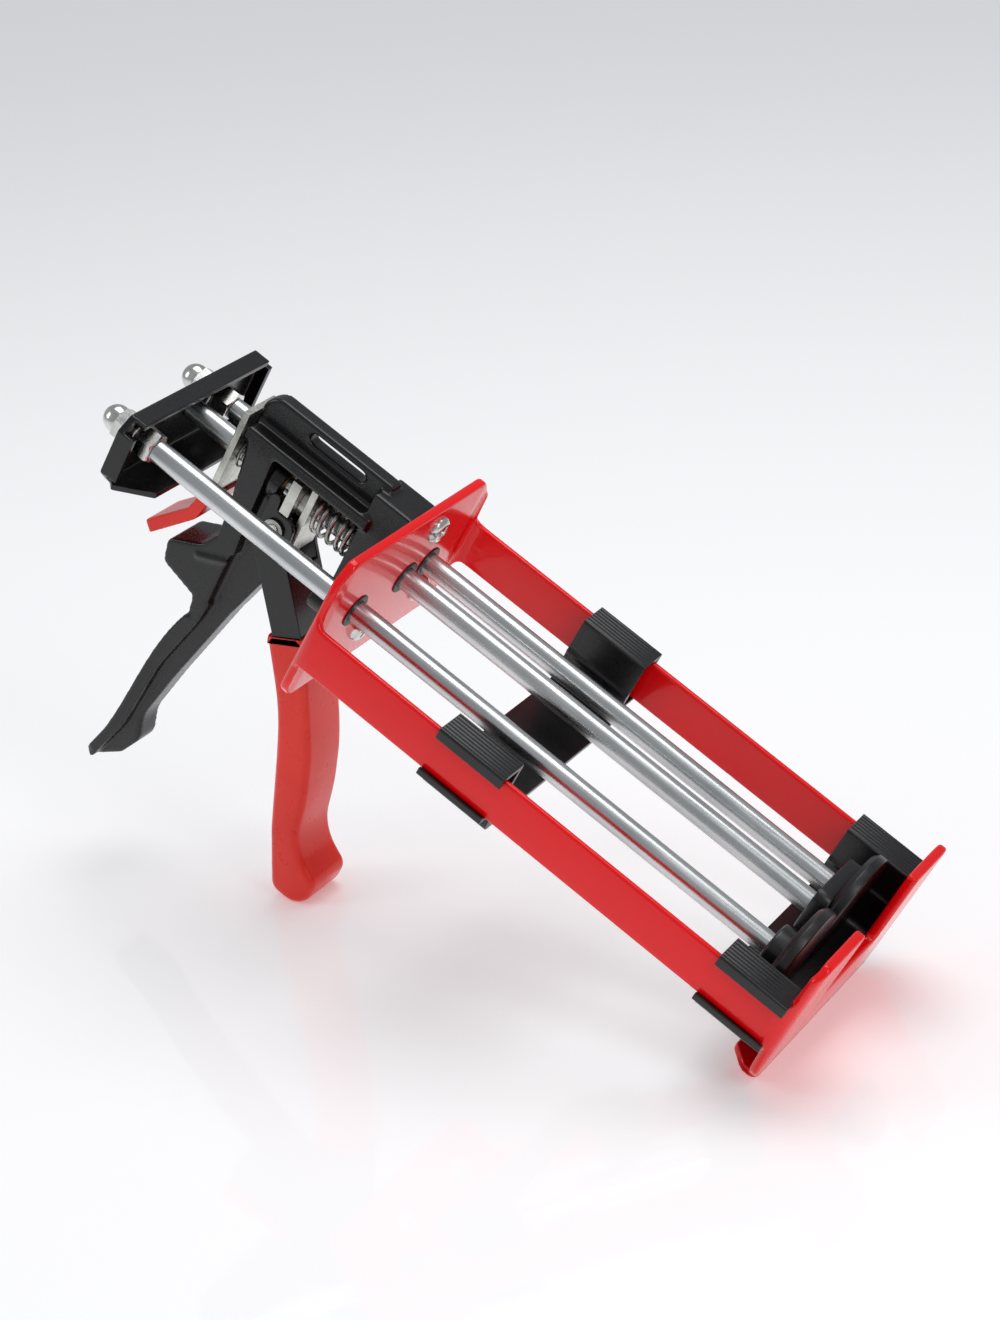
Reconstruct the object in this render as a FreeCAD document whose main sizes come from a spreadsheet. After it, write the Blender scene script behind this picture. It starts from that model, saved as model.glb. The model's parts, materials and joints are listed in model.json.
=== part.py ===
"""Two-cartridge dispensing gun: a carriage for two cartridges, a cast grip with a trigger drive, and a
yoke that pulls three rods and two plungers together.

Each piece is drawn in the gun's own axes (millimetres): X runs forward along the rods and is zero at the
back plate's front face, Y is to the left, and Z is up from the rods' axes. The whole gun is then tilted
nose-down until it stands on the trigger's tip and on the front plate's lip.
"""
import FreeCAD, Part
import math
import os
import re
import Sketcher
from FreeCAD import Placement, Rotation, Vector

# Driving dimensions in millimetres: alias, value, and what it measures.
SIZES = [
    ("bay_length", 241.0, "back plate to front plate, inside"),
    ("plate_thick", 4.5, "back and front plates"),
    ("half_width", 63.2, "centre plane to the outside of a strap"),
    ("plate_low", -37.4, "lower edge of both plates"),
    ("back_top", 36.0, "upper edge of the back plate"),
    ("back_cut", 13.0, "corner cut of the back plate"),
    ("front_top", 31.0, "upper edge of the front plate's ears"),
    ("front_cut", 7.0, "corner cut of the front plate"),
    ("corner_round", 4.0, "rounded plate corners"),
    ("notch_half", 24.0, "half width of the nozzle notch"),
    ("notch_floor", -6.0, "floor of the nozzle notch"),
    ("lip_depth", 11.0, "foot lip, from the plate's rear face"),
    ("lip_thick", 4.0, "foot lip thickness"),
    ("lip_half", 50.0, "half width of the foot lip"),
    ("strap_thick", 3.0, "straps"),
    ("strap_top", 8.2, "upper edge of a strap"),
    ("strap_low", -13.3, "lower edge of a strap"),
    ("saddle_length", 33.0, "saddles along the straps"),
    ("saddle_middle", 66.5, "rear edge of the middle saddle"),
    ("saddle_wall", 50.0, "centre plane to a saddle's inner wall"),
    ("saddle_skin", 2.6, "saddle wall thickness"),
    ("saddle_floor", -25.4, "top of the saddle's floor"),
    ("saddle_gap", 0.5, "play between a saddle and a strap"),
    ("hook_reach", 2.6, "upper saddle hooks down the strap's outer face"),
    ("toe_reach", 1.2, "lower saddle hooks up the strap's outer face"),
    ("toe_skin", 1.8, "lower saddle hook thickness"),
    ("rod_radius", 5.0, "all three rods"),
    ("rod_side", 28.0, "push rods from the centre plane"),
    ("drive_side", 10.0, "drive rod and casting from the centre plane"),
    ("rod_front", 224.0, "front ends of the rods"),
    ("rod_shoulder", -109.5, "rear shoulder of a push rod"),
    ("stud_radius", 4.0, "threaded rod ends"),
    ("stud_end", -131.0, "rear end of a stud"),
    ("slide_fit", 0.06, "radial clearance of a sliding fit"),
    ("disc_radius", 24.2, "plunger disc"),
    ("disc_side", 24.8, "plunger disc from the centre plane"),
    ("disc_thick", 6.0, "plunger disc"),
    ("disc_bevel", 2.2, "bevel on the disc's rear rim"),
    ("hub_radius", 11.0, "plunger hub"),
    ("hub_length", 7.0, "plunger hub"),
    ("yoke_face", -120.0, "yoke web, front face"),
    ("yoke_thick", 3.0, "yoke sheet"),
    ("yoke_right", -42.0, "yoke's right end"),
    ("yoke_left", 60.0, "yoke's left end"),
    ("yoke_top", 12.5, "yoke's upper face"),
    ("yoke_low", -23.0, "yoke's lower face"),
    ("yoke_lip", 5.5, "depth of the yoke's upper lip"),
    ("yoke_shelf", 18.0, "depth of the yoke's lower shelf"),
    ("nut_flats", 13.0, "M8 nuts, across flats"),
    ("nut_length", 9.0, "lock nut"),
    ("washer_radius", 8.4, "M8 washer"),
    ("washer_thick", 1.5, "M8 washer"),
    ("acorn_hex", 6.5, "hexagonal part of an acorn nut"),
    ("acorn_dome", 6.1, "dome radius of an acorn nut"),
    ("pivot_x", -57.0, "trigger pivot"),
    ("pivot_z", -14.0, "trigger pivot"),
    ("pin_radius", 3.0, "trigger pivot pin"),
    ("trigger_half", 12.5, "half width of the trigger lever"),
    ("cheek_thick", 2.5, "trigger lever sheet"),
    ("grip_skin", 1.3, "dipped coating"),
    ("tip_x", 24.5, "centre of the trigger's round tip"),
    ("tip_z", -163.5, "centre of the trigger's round tip"),
    ("tip_radius", 9.0, "trigger's round tip"),
    ("web_half", 6.5, "half thickness of the handle's web"),
    ("palm_half", 12.0, "half width of the handle's palm"),
    ("beam_half", 3.75, "half thickness of the casting's top beam"),
    ("screw_radius", 3.0, "M6 carriage screws"),
    ("screw_head", 6.3, "head radius of a carriage screw"),
    ("upper_screw_y", 8.7, "upper screw from the drive rod"),
    ("upper_screw_z", 23.8, "upper screw"),
    ("lower_screw_y", 23.0, "lower screws from the drive rod"),
    ("lower_screw_z", -17.5, "lower screws"),
    ("core_rear", -25.0, "rear face of the casting's front block"),
    ("lever_front", -89.5, "front face of the release lever"),
    ("lever_thick", 3.0, "release lever"),
]
NAMES = {alias for alias, _, _ in SIZES}

DOC = FreeCAD.newDocument("DispensingGun")
SHEET = DOC.addObject("Spreadsheet::Sheet", "Sizes")
for row, (alias, number, meaning) in enumerate(SIZES, start=1):
    SHEET.set(f"A{row}", alias)
    SHEET.set(f"B{row}", str(number))
    SHEET.set(f"C{row}", meaning)
    SHEET.setAlias(f"B{row}", alias)
DOC.recompute()

AXIS_X = Vector(1, 0, 0)
AXIS_Y = Vector(0, 1, 0)
AXIS_Z = Vector(0, 0, 1)
ALONG_X = Rotation(AXIS_Z, AXIS_X)
ALONG_Y = Rotation(AXIS_Z, AXIS_Y)
NODES = []

# Places of the three carriage screws, as Y and Z formulas, and of the spring's anchor pin, as X and Z.
SCREWS = [("drive_side + upper_screw_y", "upper_screw_z"), ("drive_side + lower_screw_y", "lower_screw_z"),
          ("drive_side - lower_screw_y", "lower_screw_z")]
STOP_PIN = (-63.0, -26.0)


# ---------------------------------------------------------------- reading and binding sizes

def in_sheet(text):
    """Turn a formula on plain aliases into one on the sheet's cells."""
    return re.sub(r"[a-z_]+", lambda word: "Sizes." + word[0] if word[0] in NAMES else word[0], text)


def size(text):
    """Value of a formula on the sheet's aliases."""
    return float(SHEET.evalExpression(in_sheet(text)))


def bind(item, **formulas):
    """Bind properties of a document object to formulas on the sheet."""
    for name, text in formulas.items():
        item.setExpression(name, in_sheet(text))


def stance():
    """Nose-down tilt at which the trigger's tip and the foot lip touch one floor."""
    nose_x = size("bay_length + plate_thick")
    nose_z = size("plate_low - lip_thick")
    run = nose_x - size("tip_x")
    drop = size("tip_z") - nose_z
    radius = size("tip_radius + grip_skin")
    pitch = math.asin(radius / math.hypot(run, drop)) - math.atan2(drop, run)
    return Placement(Vector(), Rotation(AXIS_Y, math.degrees(pitch)))


STANCE = stance()


def finish(item, label):
    """Name a sub-part, tilt it with the gun and note it for export."""
    item.Label = label
    item.Placement = STANCE.multiply(item.Placement)
    NODES.append(item)
    return item


# ---------------------------------------------------------------- sketches and PartDesign features

def plane_of(body, role):
    """Origin plane of a body by its role."""
    return [item for item in body.Origin.OriginFeatures if item.Role == role][0]


def sketch_on(body, role, name, offset="0"):
    """Empty sketch on one of the body's origin planes, moved along the plane's normal."""
    drawing = body.newObject("Sketcher::SketchObject", name)
    drawing.AttachmentSupport = [(plane_of(body, role), "")]
    drawing.MapMode = "FlatFace"
    drawing.AttachmentOffset = Placement(Vector(0, 0, size(offset)), Rotation())
    drawing.setExpression("AttachmentOffset.Base.z", in_sheet(offset))
    return drawing


def polygon(drawing, corners):
    """Closed polygon whose corners are pairs of formulas, held by one constraint per coordinate."""
    places = [(size(a), size(b)) for a, b in corners]
    first = drawing.GeometryCount
    count = len(places)
    for start, end in zip(places, places[1:] + places[:1]):
        drawing.addGeometry(Part.LineSegment(Vector(*start, 0), Vector(*end, 0)), False)
    for step in range(count):
        here, after = first + step, first + (step + 1) % count
        drawing.addConstraint(Sketcher.Constraint("Coincident", here, 2, after, 1))
    for step, (formulas, values) in enumerate(zip(corners, places)):
        for kind, text, number in zip(("DistanceX", "DistanceY"), formulas, values):
            held = drawing.addConstraint(Sketcher.Constraint(kind, -1, 1, first + step, 1, number))
            drawing.setExpression(f"Constraints[{held}]", in_sheet(text))


def circle(drawing, across, up, radius):
    """Circle with its centre and radius bound to formulas."""
    centre = Vector(size(across), size(up), 0)
    number = drawing.addGeometry(Part.Circle(centre, AXIS_Z, size(radius)), False)
    for kind, text in (("DistanceX", across), ("DistanceY", up)):
        held = drawing.addConstraint(Sketcher.Constraint(kind, -1, 1, number, 3, size(text)))
        drawing.setExpression(f"Constraints[{held}]", in_sheet(text))
    held = drawing.addConstraint(Sketcher.Constraint("Radius", number, size(radius)))
    drawing.setExpression(f"Constraints[{held}]", in_sheet(radius))


def pad(body, drawing, length, backwards=False):
    """Pad of a sketch along its normal, or against it."""
    feature = body.newObject("PartDesign::Pad", drawing.Name + "_pad")
    feature.Profile = drawing
    feature.Reversed = backwards
    bind(feature, Length=length)
    drawing.Visibility = False
    DOC.recompute()
    return feature


def pocket(body, drawing, length, backwards=False):
    """Pocket that must take material away."""
    before = body.Shape.Volume
    feature = body.newObject("PartDesign::Pocket", drawing.Name + "_pocket")
    feature.Profile = drawing
    feature.Reversed = backwards
    bind(feature, Length=length)
    DOC.recompute()
    if body.Shape.Volume > before - 1:
        raise ValueError(f"{drawing.Name} cuts nothing")
    return feature


def round_edges(body, name, radius, wanted):
    """Fillet on every edge of the body that the test picks."""
    base = body.Tip
    edges = [f"Edge{n}" for n, edge in enumerate(base.Shape.Edges, start=1) if wanted(edge)]
    feature = body.newObject("PartDesign::Fillet", name)
    feature.Base = (base, edges)
    bind(feature, Radius=radius)
    DOC.recompute()
    return feature


def straight_along(edge, axis):
    """Whether an edge is a straight line along an axis."""
    if edge.Curve.TypeId != "Part::GeomLine":
        return False
    return abs(edge.Curve.Direction.dot(axis)) > 0.999


# ---------------------------------------------------------------- Part primitives

def rod_solid(name, axis, start, length, radius):
    """Part::Cylinder along X or Y from a start point given as three formulas."""
    item = DOC.addObject("Part::Cylinder", name)
    bind(item, Radius=radius, Height=length)
    item.Placement = Placement(Vector(*[size(text) for text in start]), axis)
    return item


def block(name, low, extent):
    """Part::Box from its lowest corner and its three lengths, all formulas."""
    item = DOC.addObject("Part::Box", name)
    bind(item, Length=extent[0], Width=extent[1], Height=extent[2])
    item.Placement = Placement(Vector(*[size(text) for text in low]), Rotation())
    return item


def hexagon(name, start, length, flats):
    """Hexagonal prism along X, with two corners up and down."""
    item = DOC.addObject("Part::Prism", name)
    item.Polygon = 6
    bind(item, Circumradius=f"({flats}) / sqrt(3)", Height=length)
    item.Placement = Placement(Vector(*[size(text) for text in start]), ALONG_X)
    return item


def fused(name, pieces):
    """One solid from several that overlap or share a face."""
    item = DOC.addObject("Part::MultiFuse", name)
    item.Shapes = pieces
    item.Refine = True
    return item


def cut(name, base, tool):
    """Base with the tool taken away."""
    item = DOC.addObject("Part::Cut", name)
    item.Base = base
    item.Tool = tool
    return item


def group(name, pieces):
    """Separate solids that share one node."""
    item = DOC.addObject("Part::Compound", name)
    item.Links = pieces
    return item


def feature(name, shape):
    """Part::Feature that holds a computed shape."""
    item = DOC.addObject("Part::Feature", name)
    item.Shape = shape
    return item


# ---------------------------------------------------------------- outlines in the XZ plane

def rounded_wire(corners):
    """Closed wire in the XZ plane: corners as (x, z, radius), rounded by tangent arcs."""
    points = [Vector(x, 0, z) for x, z, _ in corners]
    edges = []
    ends = []
    for number, (_, _, radius) in enumerate(corners):
        here = points[number]
        back = (points[number - 1] - here).normalize()
        ahead = (points[(number + 1) % len(points)] - here).normalize()
        half = back.getAngle(ahead) / 2
        if radius == 0:
            ends.append((here, None, here))
            continue
        reach = radius / math.tan(half)
        inward = (back + ahead).normalize() * (radius / math.sin(half) - radius)
        ends.append((here + back * reach, here + inward, here + ahead * reach))
    for number, (enter, middle, leave) in enumerate(ends):
        if middle is not None:
            edges.append(Part.Arc(enter, middle, leave).toShape())
        following = ends[(number + 1) % len(ends)][0]
        side = points[(number + 1) % len(points)] - points[number]
        if (following - leave).dot(side) < -1e-6:
            raise ValueError(f"arcs overlap after corner {corners[number]}")
        if leave.distanceToPoint(following) > 1e-6:
            edges.append(Part.LineSegment(leave, following).toShape())
    return Part.Wire(edges)


def slab(corners, low, high):
    """Solid between two Y planes with a rounded outline in the XZ plane."""
    face = Part.Face(rounded_wire(corners))
    face.translate(Vector(0, low, 0))
    return face.extrude(Vector(0, high - low, 0))


def along_x(radius, start, end, across, up):
    """Cylinder along X."""
    return Part.makeCylinder(radius, end - start, Vector(start, across, up), AXIS_X)


def along_y(radius, low, high, x, z):
    """Cylinder along Y."""
    return Part.makeCylinder(radius, high - low, Vector(x, low, z), AXIS_Y)


def coil(radius, wire, length, turns, start, axis):
    """Helical spring of octagonal wire from a start point along an axis: ruled faces between sections."""
    steps = round(turns * 20)
    corners = [math.radians(45 * number) for number in range(8)]
    ring = [Vector(radius + wire / 2 * math.cos(angle), 0, wire / 2 * math.sin(angle)) for angle in corners]
    sections = []
    for step in range(steps + 1):
        section = Part.makePolygon(ring + ring[:1])
        height = wire / 2 + (length - wire) * step / steps
        section.Placement = Placement(Vector(0, 0, height), Rotation(AXIS_Z, 360 * turns * step / steps))
        sections.append(section)
    solid = Part.makeLoft(sections, True, True)
    solid.Placement = Placement(start, Rotation(AXIS_Z, axis))
    return solid


# ---------------------------------------------------------------- carriage

def plate_outline(top, corner):
    """Outline shared by both plates, clockwise from the upper left, as Y and Z formulas."""
    half = [("half_width - " + corner, top), ("half_width", f"{top} - {corner}"),
            ("half_width", "strap_low"), ("half_width - 4.5", "strap_low - 17.5"), ("half_width - 11", "plate_low")]
    mirrored = [(f"-({across})", up) for across, up in reversed(half)]
    return half + mirrored


def build_back_plate():
    """Back plate with three grommet holes and three screw holes."""
    body = DOC.addObject("PartDesign::Body", "back_plate")
    outline = sketch_on(body, "YZ_Plane", "back_outline")
    polygon(outline, plate_outline("back_top", "back_cut"))
    pad(body, outline, "plate_thick", backwards=True)
    round_edges(body, "back_corners", "corner_round", lambda edge: straight_along(edge, AXIS_X))
    holes = sketch_on(body, "YZ_Plane", "back_holes")
    for across in ("rod_side", "-rod_side", "drive_side"):
        circle(holes, across, "0", "rod_radius + 2")
    for across, up in SCREWS:
        circle(holes, across, up, "screw_radius")
    pocket(body, holes, "plate_thick")
    return finish(body, "carriage_back_plate")


def build_front_plate():
    """Front plate: two ears beside the nozzle notch, and the foot lip turned back along its lower edge."""
    body = DOC.addObject("PartDesign::Body", "front_plate")
    outline = sketch_on(body, "YZ_Plane", "front_outline", "bay_length")
    corners = plate_outline("front_top", "front_cut")
    notch = [("-notch_half", "front_top"), ("-notch_half", "notch_floor"),
             ("notch_half", "notch_floor"), ("notch_half", "front_top")]
    polygon(outline, corners + notch)
    pad(body, outline, "plate_thick")
    round_edges(body, "front_corners", "corner_round", lambda edge: straight_along(edge, AXIS_X))
    lip = sketch_on(body, "XY_Plane", "lip_outline", "plate_low")
    polygon(lip, [("bay_length + plate_thick", "lip_half + 2"), ("bay_length - lip_depth + 8", "lip_half"),
                  ("bay_length - lip_depth", "lip_half - 8"), ("bay_length - lip_depth", "8 - lip_half"),
                  ("bay_length - lip_depth + 8", "-lip_half"), ("bay_length + plate_thick", "-lip_half - 2")])
    pad(body, lip, "lip_thick", backwards=True)
    return finish(body, "carriage_front_plate")


def build_strap(label, left):
    """Flat strap between the plates, welded to both."""
    body = DOC.addObject("PartDesign::Body", label + "_body")
    outline = sketch_on(body, "YZ_Plane", label + "_outline")
    low = "half_width - strap_thick" if left else "-half_width"
    high = "half_width" if left else "strap_thick - half_width"
    polygon(outline, [(low, "strap_low"), (high, "strap_low"), (high, "strap_top"), (low, "strap_top")])
    pad(body, outline, "bay_length")
    return finish(body, label)


def build_screws():
    """Pan-head screws through the back plate into the casting's bosses."""
    pieces = []
    for number, (across, up) in enumerate(SCREWS):
        shank = rod_solid(f"screw_shank{number}", ALONG_X, ("-18", across, up), "18", "screw_radius")
        head = rod_solid(f"screw_head{number}", ALONG_X, ("0", across, up), "3.2", "screw_head")
        pieces.append(fused(f"screw{number}", [shank, head]))
    return finish(group("screws", pieces), "carriage_screws")


def build_grommets():
    """Guide grommets in the back plate, one round each rod."""
    pieces = []
    for number, across in enumerate(("rod_side", "-rod_side", "drive_side")):
        neck = rod_solid(f"neck{number}", ALONG_X, ("-plate_thick", across, "0"), "plate_thick", "rod_radius + 2")
        flange = rod_solid(f"flange{number}", ALONG_X, ("0", across, "0"), "0.6", "rod_radius + 2.8")
        bore = rod_solid(f"bore{number}", ALONG_X, ("-10", across, "0"), "20", "rod_radius + slide_fit")
        pieces.append(cut(f"grommet{number}", fused(f"ring{number}", [neck, flange]), bore))
    return finish(group("grommets", pieces), "rod_grommets")


def build_saddle(label, start):
    """One-piece tray that hooks over both straps and carries the cartridges."""
    body = DOC.addObject("PartDesign::Body", label + "_body")
    section = sketch_on(body, "YZ_Plane", label + "_section", start)
    half = [("saddle_wall", "saddle_floor"), ("saddle_wall", "strap_top + saddle_gap + saddle_skin"),
            ("half_width + saddle_gap + saddle_skin", "strap_top + saddle_gap + saddle_skin"),
            ("half_width + saddle_gap + saddle_skin", "strap_top - hook_reach"),
            ("half_width + saddle_gap", "strap_top - hook_reach"),
            ("half_width + saddle_gap", "strap_top + saddle_gap"),
            ("saddle_wall + saddle_skin", "strap_top + saddle_gap"),
            ("saddle_wall + saddle_skin", "strap_low - saddle_gap"),
            ("half_width + saddle_gap", "strap_low - saddle_gap"),
            ("half_width + saddle_gap", "strap_low + toe_reach"),
            ("half_width + saddle_gap + toe_skin", "strap_low + toe_reach"),
            ("half_width + saddle_gap + toe_skin", "strap_low - saddle_gap - toe_skin"),
            ("saddle_wall + saddle_skin", "strap_low - saddle_gap - toe_skin"),
            ("saddle_wall + saddle_skin", "saddle_floor - saddle_skin")]
    mirrored = [(f"-({across})", up) for across, up in reversed(half)]
    polygon(section, half + mirrored)
    pad(body, section, "saddle_length")
    return finish(body, label)


# ---------------------------------------------------------------- casting

def build_casting():
    """Die-cast body: front block, top beam, rear post, pivot lug and handle in one piece."""
    centre = size("drive_side")
    palm = size("palm_half")
    web = size("web_half")
    beam = size("beam_half")
    rear = size("core_rear")
    front = -size("plate_thick")
    pivot_x, pivot_z = size("pivot_x"), size("pivot_z")

    top_beam = [(-89, 14, 0), (-89, 35.2, 9), (rear + 4, 35.2, 0), (rear + 4, 14, 0)]
    window = [(-64, 26.5, 2.7), (-64, 32, 2.7), (-34, 32, 2.7), (-34, 26.5, 2.7)]
    rail = [(-88.5, 14, 0), (-88.5, 20, 2), (rear + 4, 20, 0), (rear + 4, 14, 0)]
    post = [(-86, 15, 0), (-84, 6, 8), (-80.5, -20, 12), (-79, -40, 0), (-68.5, -40, 0), (-69.8, -20, 10),
            (-71, 15, 0)]
    lug = [(-72, -7.8, 0), (pivot_x + 5.8, -7.8, 5.5), (pivot_x + 5.8, -23, 4), (-53.5, -46, 20), (-60, -70, 0),
           (-72, -70, 0)]
    horn = [(-79, -36, 0), (-84, -46, 9), (-99.5, -55, 3.5), (-97, -66.5, 4), (-77.5, -71.5, 5), (-70, -80, 0),
            (-70, -36, 0)]
    web_line = [(-79, -36, 0), (-77, -80, 0), (-83.5, -116, 60), (-86.5, -157, 60), (-92.5, -181, 2.5),
                (-88.5, -185.6, 3), (-78.5, -176, 5), (-73, -163, 8), (-76.5, -150, 20), (-71.5, -122, 60),
                (-60, -69, 60), (-55, -45, 0)]
    palm_line = [(-78, -70, 0), (-76, -81, 8), (-83.5, -116, 60), (-86.5, -157, 60), (-92.5, -181, 1.5),
                 (-88.5, -185.6, 1), (-81, -157, 50), (-78, -116, 60), (-70.5, -83, 9), (-69, -70, 0)]

    solids = [
        slab(top_beam, centre - beam, centre + beam).cut(slab(window, centre - 20, centre + 20)),
        slab(rail, centre - palm, centre + palm),
        slab(post, centre - palm, centre + palm),
        slab(lug, centre - web, centre + web),
        slab(horn, centre - palm, centre + palm),
        slab(web_line, centre - web, centre + web),
        slab(palm_line, centre - palm, centre + palm),
        Part.makeBox(front - rear, 20, 54, Vector(rear, centre - 10, -22)),
        Part.makeBox(front - rear - 8, 46, 7, Vector(rear + 8, centre - 23, size("lower_screw_z") - 3.5)),
        along_x(8.5, -82, -64, centre, 0),
    ]
    for across, up in SCREWS:
        solids.append(along_x(6.6, rear + 1, front, size(across), size(up)))
    casting = solids[0].multiFuse(solids[1:])

    bore = size("rod_radius") + 3
    holes = [along_x(bore, rear - 1, 0, centre, 0),
             along_x(size("rod_radius") + 2, -100, -60, centre, 0),
             along_y(size("pin_radius"), centre - 20, centre + 20, pivot_x, pivot_z),
             along_y(2, centre - 20, centre + 20, *STOP_PIN),
             along_x(size("rod_radius") + 0.8, -130, 0, size("rod_side"), 0)]
    for across, up in SCREWS:
        holes.append(along_x(size("screw_radius"), -18, 0, size(across), size(up)))
    for hole in holes:
        casting = casting.cut(hole)
    return finish(feature("casting", casting.removeSplitter()), "body_casting")


def build_bushes():
    """Two plain bushes that carry the drive rod in the casting."""
    pieces = []
    for number, (start, length, wall) in enumerate((("core_rear", "-core_rear - plate_thick", 3), ("-82", "18", 2))):
        outside = rod_solid(f"bush_wall{number}", ALONG_X, (start, "drive_side", "0"), length, f"rod_radius + {wall}")
        inside = rod_solid(f"bush_bore{number}", ALONG_X, ("-120", "drive_side", "0"), "130", "rod_radius + slide_fit")
        pieces.append(cut(f"bush{number}", outside, inside))
    return finish(group("bushes", pieces), "drive_rod_bushes")


# ---------------------------------------------------------------- trigger

def build_trigger_pin():
    """Pivot pin across the trigger's two cheeks."""
    pin = rod_solid("pivot_pin", ALONG_Y, ("pivot_x", "drive_side - trigger_half - 2.2", "pivot_z"),
                    "2 * trigger_half + 4.4", "pin_radius")
    return finish(pin, "trigger_pin")


def build_circlips():
    """Circlips on both ends of the pivot pin."""
    pieces = []
    for number, low in enumerate(("drive_side - trigger_half - 1.4", "drive_side + trigger_half + 0.4")):
        outside = rod_solid(f"clip_rim{number}", ALONG_Y, ("pivot_x", low, "pivot_z"), "1", "pin_radius + 2")
        inside = rod_solid(f"clip_bore{number}", ALONG_Y, ("pivot_x", low, "pivot_z"), "1", "pin_radius")
        pieces.append(cut(f"clip{number}", outside, inside))
    return finish(group("circlips", pieces), "trigger_pin_circlips")


def build_stop_pin():
    """Pin in the casting that anchors the return spring."""
    pin = rod_solid("anchor_pin", ALONG_Y, (str(STOP_PIN[0]), "drive_side - web_half - 2.9", str(STOP_PIN[1])),
                    "2 * web_half + 5.8", "2")
    return finish(pin, "trigger_stop_pin")


def build_trigger_spring():
    """Torsion spring round the pivot pin, between the web and the right cheek."""
    start = Vector(size("pivot_x"), size("drive_side - web_half") - 3.25, size("pivot_z"))
    return finish(feature("torsion_spring", coil(4.6, 1.0, 3.1, 1.8, start, AXIS_Y)), "trigger_spring")


def trigger_line(inset):
    """Side outline of the finger grip below its upper end, drawn in from the coating by an inset."""
    tip_x, tip_z, tip = size("tip_x"), size("tip_z"), size("tip_radius") - inset
    return [(-37.5 + inset, -61.5, 0), (-17.5 + inset, -90, 120), (-8.5 + inset, -112, 60),
            (4.5 + inset, -146, 60), (tip_x - tip * 1.3, tip_z + 1, 20),
            (tip_x - tip * 0.75, tip_z - tip, tip * 0.6), (tip_x + tip, tip_z - tip, tip),
            (tip_x + tip, tip_z + tip * 0.7, tip * 0.6), (16.5 - inset, -147, 25),
            (11 - inset, -122, 120), (3.5 - inset, -100, 120), (-24 - inset, -50.5, 0)]


def trigger_section():
    """Side outline of the bare lever, pivot boss and drive nose included, down to inside the grip."""
    pivot_x, pivot_z = size("pivot_x"), size("pivot_z")
    return [(pivot_x - 7.8, pivot_z + 1, 0), (pivot_x - 8.1, pivot_z + 15.5, 2.4), (pivot_x - 3, pivot_z + 15.5, 2.4),
            (pivot_x - 2.3, pivot_z + 8.4, 2), (pivot_x + 8, pivot_z + 8.4, 6), (pivot_x + 9.5, pivot_z - 8, 12),
            (-24.5, -50.5, 30), (-2, -92, 60), (9, -122, 60), (12.5, -140, 2), (5.5, -143, 2), (-6.5, -112, 60),
            (-16, -90, 60), (-36, -60.5, 30), (-51, -42, 30), (-63.5, -27, 12)]


def build_trigger_lever():
    """Pressed channel: two cheeks joined by a front wall, open towards the handle."""
    centre = size("drive_side")
    half = size("trigger_half")
    sheet = size("cheek_thick")
    outline = trigger_section()
    full = slab(outline, centre - half, centre + half)
    front_wall = [(-41.8, -29, 0), (-24.5, -50.5, 30), (-2, -92, 60), (9, -122, 60), (12.5, -140, 2), (9.8, -141.2, 0),
                  (6.3, -122, 60), (-4.7, -91, 60), (-27, -50.5, 30), (-43.8, -30.6, 0)]
    cheeks = full.cut(Part.makeBox(200, 2 * (half - sheet), 300, Vector(-150, centre - half + sheet, -250)))
    lever = cheeks.fuse(slab(front_wall, centre - half, centre + half).common(full))
    lever = lever.cut(along_y(size("pin_radius") + 0.05, centre - 20, centre + 20, size("pivot_x"), size("pivot_z")))
    return finish(feature("lever_channel", lever.removeSplitter()), "trigger_lever")


def build_trigger_grip(lever):
    """Soft dipped coating round the lower lever, solid between the cheeks."""
    centre = size("drive_side")
    half = size("trigger_half + grip_skin")
    solid = slab(trigger_line(-size("grip_skin")), centre - half, centre + half)
    solid = solid.makeFillet(3.5, [edge for edge in solid.Edges if not straight_along(edge, AXIS_Y)
                                   and edge.BoundBox.YLength < 0.01])
    bare = lever.Shape.copy()
    bare.Placement = Placement()
    return finish(feature("grip_coating", solid.cut(bare)), "trigger_grip")


# ---------------------------------------------------------------- drive and release

def build_drive_plate(label, start, thick, low, half):
    """Flat plate with a hole for the drive rod."""
    blank = block(label + "_blank", (start, f"drive_side - {half}", low), (thick, f"2 * {half}", f"12.7 - ({low})"))
    hole = rod_solid(label + "_hole", ALONG_X, ("-120", "drive_side", "0"), "130", "rod_radius + 0.35")
    return finish(cut(label + "_plate", blank, hole), label)


def build_spacer():
    """Ring that keeps the two drive plates apart."""
    outside = rod_solid("spacer_wall", ALONG_X, ("-53.9", "drive_side", "0"), "3.3", "rod_radius + 3")
    inside = rod_solid("spacer_bore", ALONG_X, ("-60", "drive_side", "0"), "20", "rod_radius + 0.35")
    return finish(cut("spacer_ring", outside, inside), "drive_plate_spacer")


def build_springs():
    """Main spring ahead of the drive plates, and the small spring behind the casting."""
    centre = size("drive_side")
    main = coil(8.7, 2.2, 21.2, 5, Vector(-46.6, centre, 0), AXIS_X)
    finish(feature("main_coil", main), "main_spring")
    small = coil(7.2, 1.2, 4.3, 1.5, Vector(-89.2, centre, 0), AXIS_X)
    finish(feature("release_coil", small), "release_spring")


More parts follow.
